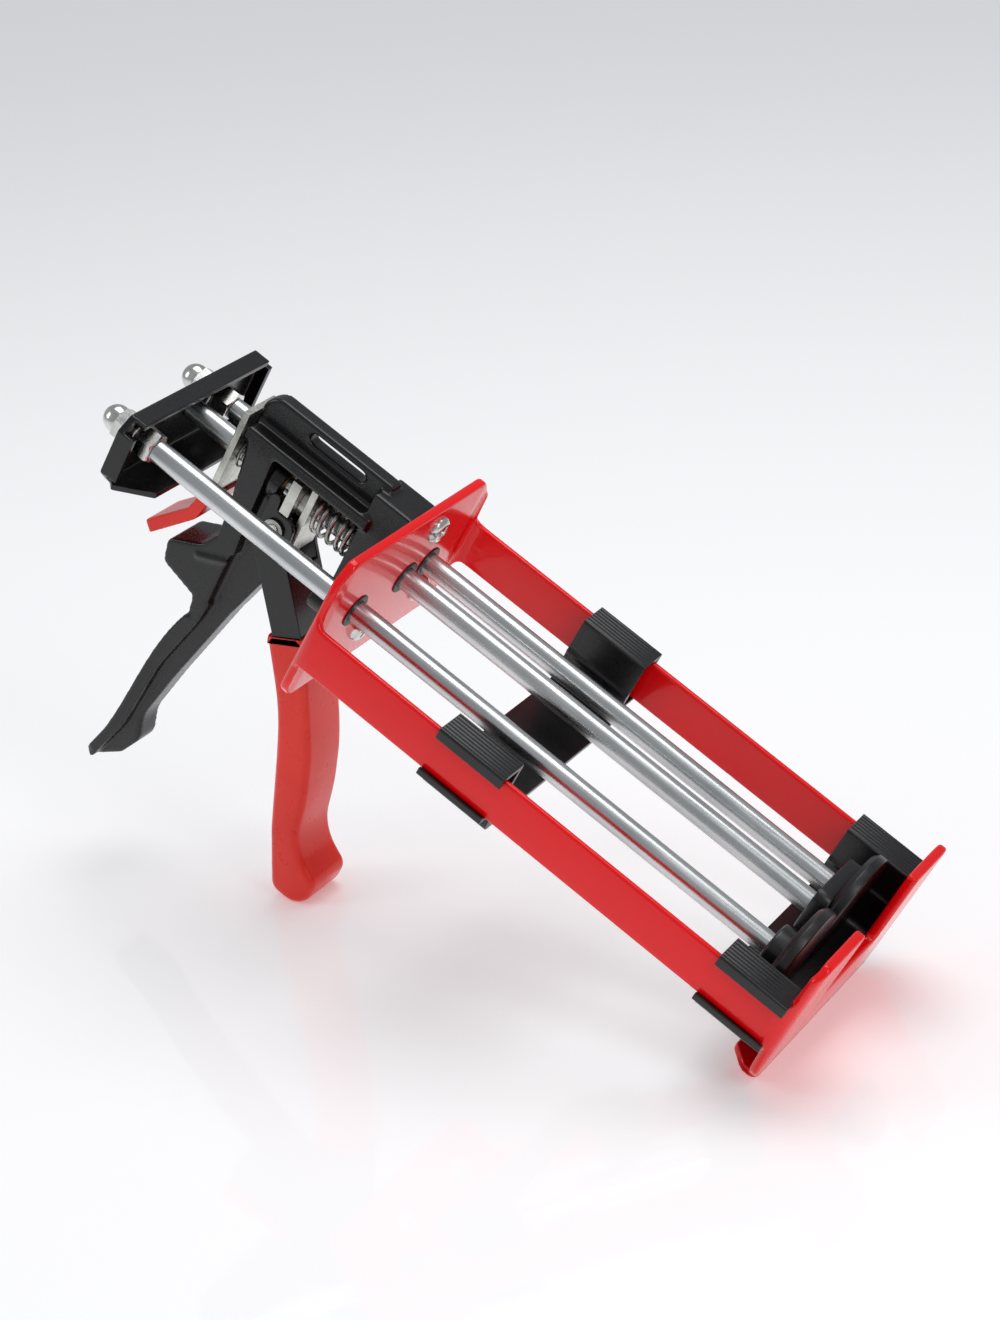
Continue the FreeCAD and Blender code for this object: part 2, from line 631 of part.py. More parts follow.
def build_release_lever():
    """Flat lever behind the casting: a holed plate with a cranked thumb tab, and the tab's dipped tip."""
    front = size("lever_front")
    rear = front - size("lever_thick")
    centre = size("drive_side")
    upright = [(front, 24, 0), (front, -20, 8), (front - 3.5, -37, 6), (-109, -57.6, 0), (-111, -55.1, 0),
               (rear - 3.2, -35.5, 6), (rear, -19, 8), (rear, 24, 0)]
    plate = slab(upright, centre - 11, centre + 11)
    plate = plate.cut(along_x(size("rod_radius") + 0.6, -130, -60, centre, 0))
    finish(feature("release_plate", plate), "release_lever")
    coat = [(front + 1, -23, 0), (front - 2.2, -37.5, 6), (-108.2, -59.2, 1), (-112.6, -54.8, 1),
            (rear - 4.6, -35, 6), (rear - 1.4, -23, 0)]
    sleeve = slab(coat, centre - 12, centre + 12).cut(plate)
    finish(feature("release_coating", sleeve), "release_lever_sleeve")


# ---------------------------------------------------------------- rods, yoke and plungers

def build_push_rod(label, side):
    """Push rod with a threaded stud behind and a tapped hole in front."""
    shaft = rod_solid(label + "_shaft", ALONG_X, ("rod_shoulder", side, "0"), "rod_front - rod_shoulder", "rod_radius")
    stud = rod_solid(label + "_stud", ALONG_X, ("stud_end", side, "0"), "rod_shoulder - stud_end", "stud_radius")
    hole = rod_solid(label + "_hole", ALONG_X, ("rod_front - 12", side, "0"), "12", "2.5")
    return finish(cut(label + "_rod", fused(label + "_blank", [shaft, stud]), hole), label)


def build_drive_rod():
    """Drive rod with a spigot riveted into the yoke."""
    shaft = rod_solid("drive_shaft", ALONG_X, ("yoke_face", "drive_side", "0"), "rod_front - yoke_face", "rod_radius")
    spigot = rod_solid("drive_spigot", ALONG_X, ("yoke_face - yoke_thick", "drive_side", "0"), "yoke_thick",
                       "stud_radius")
    hole = rod_solid("drive_hole", ALONG_X, ("rod_front - 12", "drive_side", "0"), "12", "2.5")
    return finish(cut("drive_rod_body", fused("drive_blank", [shaft, spigot]), hole), "drive_rod")


def build_yoke():
    """Pressed dish that joins the three rods: web, upper lip, two end walls and a deep lower shelf."""
    body = DOC.addObject("PartDesign::Body", "yoke_body")
    web = sketch_on(body, "YZ_Plane", "yoke_web", "yoke_face")
    polygon(web, [("yoke_right", "yoke_low + 6"), ("yoke_right + 6", "yoke_low"), ("yoke_left - 6", "yoke_low"),
                  ("yoke_left", "yoke_low + 6"), ("yoke_left", "yoke_top - 6"), ("yoke_left - 6", "yoke_top"),
                  ("yoke_right + 6", "yoke_top"), ("yoke_right", "yoke_top - 6")])
    pad(body, web, "yoke_thick", backwards=True)
    rims = [("lip", "YZ_Plane", [("yoke_right + 6", "yoke_top - yoke_thick"), ("yoke_left - 6", "yoke_top - yoke_thick"),
                                 ("yoke_left - 6", "yoke_top"), ("yoke_right + 6", "yoke_top")]),
            ("right_wall", "YZ_Plane", [("yoke_right", "yoke_low + 6"), ("yoke_right + yoke_thick", "yoke_low + 6"),
                                        ("yoke_right + yoke_thick", "yoke_top - 6"), ("yoke_right", "yoke_top - 6")]),
            ("left_wall", "YZ_Plane", [("yoke_left - yoke_thick", "yoke_low + 6"), ("yoke_left", "yoke_low + 6"),
                                       ("yoke_left", "yoke_top - 6"), ("yoke_left - yoke_thick", "yoke_top - 6")])]
    for name, role, corners in rims:
        drawing = sketch_on(body, role, "yoke_" + name, "yoke_face")
        polygon(drawing, corners)
        pad(body, drawing, "yoke_lip")
    shelf = sketch_on(body, "XY_Plane", "yoke_shelf_outline", "yoke_low")
    polygon(shelf, [("yoke_face", "yoke_right + 6"), ("yoke_face + 4", "yoke_right + 2"),
                    ("yoke_face + yoke_shelf", "yoke_right + 16"), ("yoke_face + yoke_shelf", "yoke_left - 16"),
                    ("yoke_face + 4", "yoke_left - 2"), ("yoke_face", "yoke_left - 6")])
    pad(body, shelf, "yoke_thick")
    holes = sketch_on(body, "YZ_Plane", "yoke_holes", "yoke_face")
    for across in ("rod_side", "-rod_side", "drive_side"):
        circle(holes, across, "0", "stud_radius")
    pocket(body, holes, "yoke_thick")
    return finish(body, "yoke")


def build_yoke_fasteners():
    """Washers and lock nuts ahead of the yoke, acorn nuts behind it."""
    washers, nuts, acorns = [], [], []
    for number, side in enumerate(("rod_side", "-rod_side")):
        bore = rod_solid(f"stud_bore{number}", ALONG_X, ("yoke_face", side, "0"), "30", "stud_radius")
        washer = rod_solid(f"washer_disc{number}", ALONG_X, ("yoke_face", side, "0"), "washer_thick", "washer_radius")
        washers.append(cut(f"washer{number}", washer, bore))
        nut = hexagon(f"nut_hex{number}", ("yoke_face + washer_thick", side, "0"), "nut_length", "nut_flats")
        nuts.append(cut(f"nut{number}", nut, bore))
        rear = "yoke_face - yoke_thick"
        hexa = hexagon(f"acorn_base{number}", (f"{rear} - acorn_hex", side, "0"), "acorn_hex", "nut_flats")
        dome = DOC.addObject("Part::Sphere", f"acorn_top{number}")
        bind(dome, Radius="acorn_dome")
        dome.Placement = Placement(Vector(size(f"{rear} - acorn_hex - 2"), size(side), 0), Rotation())
        collar = rod_solid(f"acorn_neck{number}", ALONG_X, (f"{rear} - acorn_hex - 2", side, "0"), "2", "acorn_dome")
        thread = rod_solid(f"acorn_bore{number}", ALONG_X, ("stud_end", side, "0"), f"{rear} - stud_end",
                           "stud_radius")
        acorns.append(cut(f"acorn{number}", fused(f"acorn_blank{number}", [hexa, dome, collar]), thread))
    finish(group("washers", washers), "yoke_washers")
    finish(group("nuts", nuts), "yoke_lock_nuts")
    finish(group("acorns", acorns), "acorn_nuts")


def plunger_disc(side):
    """Disc with a bevelled rear rim, made by turning its half section round the cartridge's axis."""
    front = size("rod_front + disc_thick")
    rear = size("rod_front")
    radius = size("disc_radius")
    bevel = size("disc_bevel")
    corners = [(rear, 0), (rear, radius - bevel), (rear + bevel, radius), (front, radius), (front, 0)]
    points = [Vector(x, size(side), z) for x, z in corners]
    face = Part.Face(Part.makePolygon(points + points[:1]))
    return face.revolve(Vector(0, size(side), 0), AXIS_X, 360)


def build_plungers():
    """Right plunger on one rod, left plunger on a bar across two rods, and their screws."""
    start = size("rod_front - hub_length")
    rear = size("rod_front")
    rods = [-size("rod_side"), size("drive_side"), size("rod_side")]
    hub = along_x(size("hub_radius"), start, rear, rods[0], 0)
    bar = Part.makeBox(rear - start, 36, 24, Vector(start, 2, -12))
    edges = [edge for edge in bar.Edges if straight_along(edge, AXIS_X)]
    bar = bar.makeFillet(5, edges)
    parts = {"plunger_right": plunger_disc("-disc_side").fuse(hub),
             "plunger_left": plunger_disc("disc_side").fuse(bar)}
    owners = {"plunger_right": rods[:1], "plunger_left": rods[1:]}
    for label, shape in parts.items():
        for across in owners[label]:
            shape = shape.cut(along_x(size("rod_radius"), start - 1, rear, across, 0))
            shape = shape.cut(along_x(2.5, rear - 1, rear + 10, across, 0))
            shape = shape.cut(along_x(4.6, rear + 3.5, rear + 10, across, 0))
        finish(feature(label + "_moulding", shape.removeSplitter()), label)
    screws = []
    for number, side in enumerate(("rod_side", "-rod_side", "drive_side")):
        shank = rod_solid(f"end_shank{number}", ALONG_X, ("rod_front - 12", side, "0"), "15.5", "2.5")
        head = rod_solid(f"end_head{number}", ALONG_X, ("rod_front + 3.5", side, "0"), "2.5", "4.6")
        screws.append(fused(f"end_screw{number}", [shank, head]))
    finish(group("end_screws", screws), "plunger_screws")


# ---------------------------------------------------------------- assembly and export

def build_all():
    """Build every sub-part."""
    build_back_plate()
    build_front_plate()
    build_strap("carriage_strap_right", left=False)
    build_strap("carriage_strap_left", left=True)
    build_screws()
    build_grommets()
    build_saddle("saddle_middle", "saddle_middle")
    build_saddle("saddle_front", "bay_length - saddle_length")
    build_casting()
    build_bushes()
    build_trigger_pin()
    build_circlips()
    build_stop_pin()
    build_trigger_spring()
    build_trigger_grip(build_trigger_lever())
    build_drive_plate("drive_plate_rear", "-58.7", "4.8", "-5", "12.3")
    build_drive_plate("drive_plate_front", "-50.6", "3.6", "-22.8", "9")
    build_spacer()
    build_springs()
    build_release_lever()
    build_push_rod("push_rod_right", "-rod_side")
    build_push_rod("push_rod_left", "rod_side")
    build_drive_rod()
    build_yoke()
    build_yoke_fasteners()
    build_plungers()


def stand_on_floor():
    """Shift every sub-part so that the origin lies on the floor under the middle of the whole gun."""
    DOC.recompute()
    boxes = [item.Shape.optimalBoundingBox(False, False) for item in NODES]
    middle = (min(box.XMin for box in boxes) + max(box.XMax for box in boxes)) / 2
    floor = min(box.ZMin for box in boxes)
    shift = Placement(Vector(-middle, 0, -floor), Rotation())
    for item in NODES:
        item.Placement = shift.multiply(item.Placement)
    print(f"tilt {math.degrees(STANCE.Rotation.Angle):.3f} degrees, shift {-middle:.3f} {-floor:.3f}")


def check_all():
    """Stop on any failed object, and on any sub-part whose shape is missing or broken."""
    DOC.recompute()
    for item in DOC.Objects:
        if "Invalid" in item.State or "Error" in item.State:
            raise ValueError(f"{item.Name} failed: {item.State}")
    for item in NODES:
        if item.Shape.isNull() or not item.Shape.isValid():
            raise ValueError(f"{item.Label} has no valid shape")


def export_all():
    """Write one STEP file for each sub-part."""
    os.makedirs("parts", exist_ok=True)
    for item in NODES:
        item.Shape.exportStep(f"parts/{item.Label}.step")
        print(f"{item.Label}: {len(item.Shape.Solids)} solid(s), {item.Shape.Volume:.0f} mm3")


build_all()
stand_on_floor()
check_all()
export_all()
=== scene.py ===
import json
import logging
import math
from dataclasses import dataclass
from enum import Enum
from typing import Callable

import bmesh
import bpy
import numpy as np
from mathutils import Matrix, Vector


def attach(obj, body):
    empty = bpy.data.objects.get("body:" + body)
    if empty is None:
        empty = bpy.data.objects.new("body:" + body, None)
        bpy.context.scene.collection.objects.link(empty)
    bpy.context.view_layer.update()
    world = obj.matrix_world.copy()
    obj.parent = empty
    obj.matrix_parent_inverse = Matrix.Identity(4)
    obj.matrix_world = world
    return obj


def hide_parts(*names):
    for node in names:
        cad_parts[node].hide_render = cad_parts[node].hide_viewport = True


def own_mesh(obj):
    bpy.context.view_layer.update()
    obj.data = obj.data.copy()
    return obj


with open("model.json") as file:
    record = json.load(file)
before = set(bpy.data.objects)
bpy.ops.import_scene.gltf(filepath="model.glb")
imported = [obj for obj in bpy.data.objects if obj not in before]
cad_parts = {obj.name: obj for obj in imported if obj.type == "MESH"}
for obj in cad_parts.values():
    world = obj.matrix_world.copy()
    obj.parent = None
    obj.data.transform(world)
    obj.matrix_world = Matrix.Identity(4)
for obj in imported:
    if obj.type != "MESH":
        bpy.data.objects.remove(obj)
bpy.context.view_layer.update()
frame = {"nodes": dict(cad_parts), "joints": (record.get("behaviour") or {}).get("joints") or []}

LOG = logging.getLogger("dispensing_gun")
MM = 0.001
CRISP_DEGREES = 35.0
Array = np.ndarray
Shell = tuple[Array, list]


class Body(Enum):
    """Bodies of the frame that pieces ride on."""

    FRAME = "frame"
    TRIGGER = "trigger"
    DRIVE = "drive_plates"
    RELEASE = "release"
    RODS = "rods"


class Slot(Enum):
    """Material slots of the record."""

    ENAMEL = "red_enamel"
    CASTING = "black_coat"
    PRESSING = "black_enamel"
    NYLON = "black_plastic"
    RUBBER = "rubber_black"
    GRIP = "red_grip"
    ROD = "zinc_rod"
    PLATE = "zinc_plate"
    NUT = "zinc_nut"
    SCREW = "black_screw"
    SPRING = "spring_steel"
    BUSH = "bronze"


@dataclass(frozen=True)
class GunAxes:
    """The gun's own axes: X forward along the rods from the back plate, Y left, Z up from them.

    Args:
        turn: matrix whose columns are the gun's axes in the row frame.
        base: the gun's origin in the row frame, in metres.
    """

    turn: Array
    base: Array

    @classmethod
    def from_joints(cls, joints: list, pivot: tuple[float, float, float]) -> "GunAxes":
        """Read the axes from the rods' slide and the trigger's pivot.

        Args:
            joints: the frame's joints.
            pivot: the trigger's pivot in the gun's own millimetres.

        Returns:
            The gun's axes.
        """
        named = {joint["name"]: joint for joint in joints}
        forward = np.array(named["rod_slide"]["axis"], float)
        left = np.array([0.0, 1.0, 0.0])
        turn = np.column_stack([forward, left, np.cross(forward, left)])
        place = np.array(named["trigger_squeeze"]["pos_m"], float)
        return cls(turn, place - turn @ (np.array(pivot) * MM))

    def place(self, points: Array) -> Array:
        """Points in the gun's millimetres as points in the row frame's metres."""
        return np.asarray(points, float) * MM @ self.turn.T + self.base

    def matrix(self) -> Matrix:
        """The gun's axes as one transform from metres to the row frame."""
        whole = np.eye(4)
        whole[:3, :3] = self.turn
        whole[:3, 3] = self.base
        return Matrix(whole.tolist())


GUN = GunAxes.from_joints(frame["joints"], pivot=(-57.0, 10.0, -14.0))


# ---------------------------------------------------------------- finishes

def linear(code: str) -> tuple[float, float, float, float]:
    """An sRGB hex colour as linear red, green, blue and alpha: a straight toe, then a 2.4 power."""
    parts = np.array([int(code[at:at + 2], 16) for at in (1, 3, 5)]) / 255
    values = np.where(parts <= 0.04045, parts / 12.92, ((parts + 0.055) / 1.055) ** 2.4)
    return (*values.tolist(), 1.0)


def add_node(tree: bpy.types.NodeTree, kind: str, settings: dict | None = None,
             inputs: dict | None = None) -> bpy.types.Node:
    """Add a shader node.

    Args:
        tree: the node tree.
        kind: the node's type.
        settings: properties of the node.
        inputs: values or output sockets for its inputs, by name or number.

    Returns:
        The node.
    """
    node = tree.nodes.new(kind)
    for name, value in (settings or {}).items():
        setattr(node, name, value)
    for name, value in (inputs or {}).items():
        if isinstance(value, bpy.types.NodeSocket):
            tree.links.new(value, node.inputs[name])
        else:
            node.inputs[name].default_value = value
    return node


@dataclass(frozen=True)
class Finish:
    """A surface: two close colours mixed by soft patches, and a fine grain in gloss and relief.

    Args:
        name: what the real surface is.
        colour: main colour.
        shade: the colour it drifts towards.
        roughness: lowest and highest roughness over the grain.
        metallic: 1 for bare metal.
        coat: weight of a clear gloss over the colour.
        coat_roughness: roughness of that gloss.
        grain: grain size along, across and up the gun, in millimetres.
        relief: height of the grain in millimetres.
        patch: size of the colour patches in millimetres.
        specular: specular level of the surface.
    """

    name: str
    colour: str
    shade: str
    roughness: tuple[float, float]
    metallic: float = 0.0
    coat: float = 0.0
    coat_roughness: float = 0.1
    grain: tuple[float, float, float] = (1.0, 1.0, 1.0)
    relief: float = 0.02
    patch: float = 30.0
    specular: float = 0.5

    def build(self) -> bpy.types.Material:
        """Make the material."""
        material = bpy.data.materials.new(self.name)
        material.use_nodes = True
        tree = material.node_tree
        tree.nodes.clear()
        place = add_node(tree, "ShaderNodeTexCoord").outputs["Object"]
        tilt = math.atan2(-GUN.turn[2, 0], GUN.turn[0, 0])
        level = add_node(tree, "ShaderNodeMapping", inputs={"Vector": place, "Rotation": (0, -tilt, 0)})
        per_metre = tuple(1 / (size * MM) for size in self.grain)
        fine = add_node(tree, "ShaderNodeMapping", inputs={"Vector": level.outputs[0], "Scale": per_metre})
        grain = add_node(tree, "ShaderNodeTexNoise",
                         inputs={"Vector": fine.outputs[0], "Scale": 1.0, "Detail": 3.0, "Roughness": 0.55})
        patches = add_node(tree, "ShaderNodeTexNoise",
                           inputs={"Vector": level.outputs[0], "Scale": 1 / (self.patch * MM),
                                   "Detail": 4.0})
        spread = add_node(tree, "ShaderNodeMapRange",
                          inputs={"Value": patches.outputs["Fac"], "From Min": 0.35, "From Max": 0.65})
        colour = add_node(tree, "ShaderNodeMix", {"data_type": "RGBA"},
                          {0: spread.outputs[0], 6: linear(self.colour), 7: linear(self.shade)})
        gloss = add_node(tree, "ShaderNodeMapRange",
                         inputs={"Value": grain.outputs["Fac"], "From Min": 0.3, "From Max": 0.7,
                                 "To Min": self.roughness[0], "To Max": self.roughness[1]})
        bump = add_node(tree, "ShaderNodeBump",
                        inputs={"Height": grain.outputs["Fac"], "Distance": self.relief * MM,
                                "Strength": 1.0})
        shader = add_node(tree, "ShaderNodeBsdfPrincipled",
                          inputs={"Base Color": colour.outputs[2], "Roughness": gloss.outputs[0],
                                  "Normal": bump.outputs[0], "Metallic": self.metallic,
                                  "Coat Weight": self.coat, "Coat Roughness": self.coat_roughness,
                                  "Specular IOR Level": self.specular})
        add_node(tree, "ShaderNodeOutputMaterial", inputs={"Surface": shader.outputs[0]})
        return material


# Gloss enamel over pickled sheet steel: a wet-looking red with a faint orange peel.
RED_ENAMEL = Finish("gloss_red_enamel", "#F5040C", "#EC020A", (0.18, 0.26), coat=0.35,
                    coat_roughness=0.05, grain=(2.2, 2.2, 2.2), relief=0.004, patch=70, specular=0.25)
# Powder coat over die-cast aluminium: satin black with a fine pebble.
CAST_COAT = Finish("powder_coat_on_casting", "#0B0B0C", "#101012", (0.22, 0.34),
                   grain=(0.9, 0.9, 0.9), relief=0.03, patch=18)
# Powder coat over pressed steel: the same black, smoother and a little glossier.
PRESS_COAT = Finish("powder_coat_on_steel", "#0A0A0B", "#0F0F11", (0.18, 0.28),
                    grain=(1.1, 1.1, 1.1), relief=0.015, patch=22)
# Glass-filled nylon: near black with a low moulded sheen.
NYLON = Finish("moulded_nylon", "#0E0E10", "#151517", (0.26, 0.38),
               grain=(0.8, 0.8, 0.8), relief=0.012, patch=15)
# Moulded rubber rings: near black and dull.
RUBBER = Finish("moulded_rubber", "#0A0A0B", "#101011", (0.38, 0.52),
                grain=(0.7, 0.7, 0.7), relief=0.02, patch=8)
# Vinyl dip over the lever: thick glossy red-orange skin that flowed before it set.
DIPPED_VINYL = Finish("dipped_vinyl", "#F22A16", "#EA2010", (0.26, 0.34), coat=0.3, coat_roughness=0.12,
                      grain=(7.0, 7.0, 7.0), relief=0.03, patch=25, specular=0.3)
# Bright zinc over cold-drawn rod: fine streaks along the rod from the die.
ZINC_ROD = Finish("bright_zinc_on_drawn_rod", "#D3D5D5", "#BFC2C3", (0.20, 0.34), metallic=1.0,
                  grain=(30.0, 1.1, 1.1), relief=0.0015, patch=45)
# Zinc over stamped sheet: cooler and duller than the rods, with faint cloudy passivation.
ZINC_PLATE = Finish("zinc_on_stamped_steel", "#CFCFC8", "#B4B4AC", (0.24, 0.38), metallic=1.0,
                    grain=(1.2, 1.2, 1.2), relief=0.006, patch=9)
# Nickel over turned nuts and screw heads: bright and close to a mirror.
NICKEL = Finish("nickel_on_turned_steel", "#DCDCD8", "#C8C8C4", (0.12, 0.24), metallic=1.0,
                grain=(0.5, 2.0, 2.0), relief=0.01, patch=6)
# Black oxide on machine screws: a thin dark skin that lets some metal through.
BLACK_OXIDE = Finish("black_oxide", "#1B1C1E", "#26272A", (0.26, 0.38), metallic=0.3,
                     grain=(0.6, 0.6, 0.6), relief=0.01, patch=4)
# Drawn music wire: bare grey steel with a soft shine.
SPRING_WIRE = Finish("drawn_spring_wire", "#B4B4B0", "#94958F", (0.22, 0.36), metallic=1.0,
                     grain=(0.8, 0.8, 0.8), relief=0.01, patch=6)
# Sintered bronze, oiled: brown and grainy.
BRONZE = Finish("sintered_bronze", "#A87E4A", "#8C683A", (0.36, 0.5), metallic=1.0,
                grain=(0.4, 0.4, 0.4), relief=0.02, patch=5)

FINISHES = {Slot.ENAMEL: RED_ENAMEL, Slot.CASTING: CAST_COAT, Slot.PRESSING: PRESS_COAT,
            Slot.NYLON: NYLON, Slot.RUBBER: RUBBER, Slot.GRIP: DIPPED_VINYL, Slot.ROD: ZINC_ROD,
            Slot.PLATE: ZINC_PLATE, Slot.NUT: NICKEL, Slot.SCREW: BLACK_OXIDE,
            Slot.SPRING: SPRING_WIRE, Slot.BUSH: BRONZE}


class Palette:
    """Materials by slot, each made once."""

    def __init__(self) -> None:
        """Make every finish's material."""
        self.materials = {slot: finish.build() for slot, finish in FINISHES.items()}

    def dress(self, item: bpy.types.Object, slot: Slot) -> None:
        """Give an object the material of a slot as its only one."""
        item.data.materials.clear()
        item.data.materials.append(self.materials[slot])


PALETTE = Palette()


# ---------------------------------------------------------------- surfaces

def grid_faces(rows: int, columns: int, wrap_rows: bool = False, wrap_columns: bool = False) -> list:
    """Quads of a grid of points stored row by row.

    Args:
        rows: number of rows.
        columns: number of columns.
        wrap_rows: whether the last row joins the first.
        wrap_columns: whether the last column joins the first.

    Returns:
        Quads as lists of point numbers.
    """
    row = np.arange(rows if wrap_rows else rows - 1)[:, None]
    column = np.arange(columns if wrap_columns else columns - 1)[None, :]
    below, right = (row + 1) % rows, (column + 1) % columns
    corners = [row * columns + column, below * columns + column,
               below * columns + right, row * columns + right]
    return np.stack(corners, axis=-1).reshape(-1, 4).tolist()


def merged(shells: list[Shell]) -> Shell:
    """Several shells as one list of points and faces."""
    points, faces, start = [], [], 0
    for shell_points, shell_faces in shells:
        points.append(np.asarray(shell_points).reshape(-1, 3))
        faces += [[number + start for number in face] for face in shell_faces]
        start += len(points[-1])
    return np.concatenate(points), faces


def rounded(corners: list[tuple[float, float, float]], closed: bool = True, step: float = 4.0,
            arc_points: int = 7) -> Array:
    """Outline through corners with tangent arcs: each arc is centred on its corner's bisector.

    Args:
        corners: two coordinates and a radius each.
        closed: whether the last corner joins the first.
        step: longest straight stretch between points.
        arc_points: points on each arc.

    Returns:
        Points of the outline, in order.
    """
    points = np.array([corner[:2] for corner in corners], float)
    count = len(points)
    stops: list[Array] = []
    for number, (_, _, radius) in enumerate(corners):
        here = points[number]
        if radius == 0 or (not closed and number in (0, count - 1)):
            stops.append(here[None, :])
            continue
        back = points[number - 1] - here
        ahead = points[(number + 1) % count] - here
        back, ahead = back / np.linalg.norm(back), ahead / np.linalg.norm(ahead)
        half = math.acos(np.clip(back @ ahead, -1, 1)) / 2
        bisector = (back + ahead) / np.linalg.norm(back + ahead)
        centre = here + bisector * radius / math.sin(half)
        begin, end = here + back * radius / math.tan(half), here + ahead * radius / math.tan(half)
        first, last = (math.atan2(*(point - centre)[::-1]) for point in (begin, end))
        sweep = (last - first + math.pi) % (2 * math.pi) - math.pi
        angles = first + sweep * np.linspace(0, 1, arc_points)
        stops.append(centre + radius * np.column_stack([np.cos(angles), np.sin(angles)]))
    line = np.concatenate(stops + ([stops[0][:1]] if closed else []))
    lengths = np.linalg.norm(np.diff(line, axis=0), axis=1)
    counts = np.maximum(1, np.ceil(lengths / step)).astype(int)
    pieces = [line[at] + (line[at + 1] - line[at]) * np.arange(number)[:, None] / number
              for at, number in enumerate(counts) if lengths[at] > 1e-9]
    whole = np.concatenate(pieces)
    return whole if closed else np.concatenate([whole, line[-1:]])


def side_normals(outline: Array, closed: bool = True) -> Array:
    """Unit normals of an outline, a quarter turn clockwise from its direction."""
    if closed:
        along = np.roll(outline, -1, axis=0) - np.roll(outline, 1, axis=0)
    else:
        along = np.gradient(outline, axis=0)
    along = along / np.maximum(np.linalg.norm(along, axis=1, keepdims=True), 1e-12)
    return np.column_stack([along[:, 1], -along[:, 0]])


def outward(outline: Array) -> Array:
    """Outward normals of a closed outline, whichever way it runs."""
    after = np.roll(outline, -1, axis=0)
    area = np.sum(outline[:, 0] * after[:, 1] - after[:, 0] * outline[:, 1])
    return side_normals(outline) * np.sign(area)


def prism(outline: Array, low: float, high: float, rim: float, lift: Callable[[Array, Array], Array],
          arc_points: int = 4) -> Shell:
    """Outline carried straight from low to high, with quarter-round rims: each rim ring is the
    outline drawn in by rim x (1 - sin a) at a depth of rim x (1 - cos a).

    Args:
        outline: closed outline as pairs.
        low: where it starts.
        high: where it ends.
        rim: radius of both rims.
        lift: turns outline points and a depth into gun points.
        arc_points: points across each rim.

    Returns:
        A closed shell.
    """
    normals = outward(outline)
    turn = np.linspace(0, math.pi / 2, arc_points)
    insets, depths = rim * (1 - np.sin(turn)), rim * (1 - np.cos(turn))
    rings = [(inset, low + depth) for inset, depth in zip(insets, depths)]
    rings += [(inset, high - depth) for inset, depth in zip(insets[::-1], depths[::-1])]
    points = np.stack([lift(outline - normals * inset, np.full(len(outline), at)) for inset, at in rings])
    count = len(outline)
    faces = grid_faces(len(rings), count, wrap_columns=True)
    faces.append(list(range(count)))
    faces.append(list(range(len(rings) * count - 1, (len(rings) - 1) * count - 1, -1)))
    return points.reshape(-1, 3), faces


def across_gun(outline: Array, depth: Array) -> Array:
    """Outline in X and Z, carried along Y."""
    return np.column_stack([outline[:, 0], depth, outline[:, 1]])


def along_gun(outline: Array, depth: Array) -> Array:
    """Outline in Y and Z, carried along X."""
    return np.column_stack([depth, outline[:, 0], outline[:, 1]])


def turned(profile: list[tuple[float, float]], centre: tuple[float, float], segments: int = 64,
           closed: bool = False) -> Shell:
    """Profile of (x, radius) pairs turned round an axis parallel to X: at each angle a, the point
    lies radius x cos a across and radius x sin a up from the axis.

    Args:
        profile: the half section.
        centre: the axis's Y and Z.
        segments: steps round the axis.
        closed: whether the profile is a ring, as on a washer.

    Returns:
        A closed shell.
    """
    line = np.array(profile, float)
    angle = np.linspace(0, 2 * math.pi, segments, endpoint=False)
    radius = line[:, 1][:, None]
    points = np.stack([np.broadcast_to(line[:, 0][:, None], (len(line), segments)),
                       centre[0] + radius * np.cos(angle),
                       centre[1] + radius * np.sin(angle)], axis=-1)
    return points.reshape(-1, 3), grid_faces(len(line), segments, wrap_rows=closed, wrap_columns=True)


def soft_profile(corners: list[tuple[float, float, float]],
                 closed: bool = False) -> list[tuple[float, float]]:
    """Half section with rounded corners, for a turned piece."""
    return [tuple(point) for point in rounded(corners, closed=closed, step=50, arc_points=6).tolist()]


def tube(path: Array, radius: float, beside: int = 1, segments: int = 12) -> Shell:
    """Round bar along a path: a circle square to the path at each point, shut to a point at both ends.

    Args:
        path: points along the bar's middle.
        radius: radius of the bar.
        beside: number of an axis that the path never runs along.
        segments: points round the bar.

    Returns:
        A closed shell.
    """
    along = np.gradient(path, axis=0)
    along /= np.linalg.norm(along, axis=1, keepdims=True)
    side = np.cross(along, np.eye(3)[beside])
    side /= np.linalg.norm(side, axis=1, keepdims=True)
    other = np.cross(along, side)
    angle = np.linspace(0, 2 * math.pi, segments, endpoint=False)[None, :, None]
    around = side[:, None, :] * np.cos(angle) + other[:, None, :] * np.sin(angle)
    rings = path[:, None, :] + radius * around
    ends = [np.repeat(path[at][None, None, :], segments, axis=1) for at in (0, -1)]
    points = np.concatenate([ends[0], rings, ends[1]])
    return points.reshape(-1, 3), grid_faces(len(points), segments, wrap_columns=True)


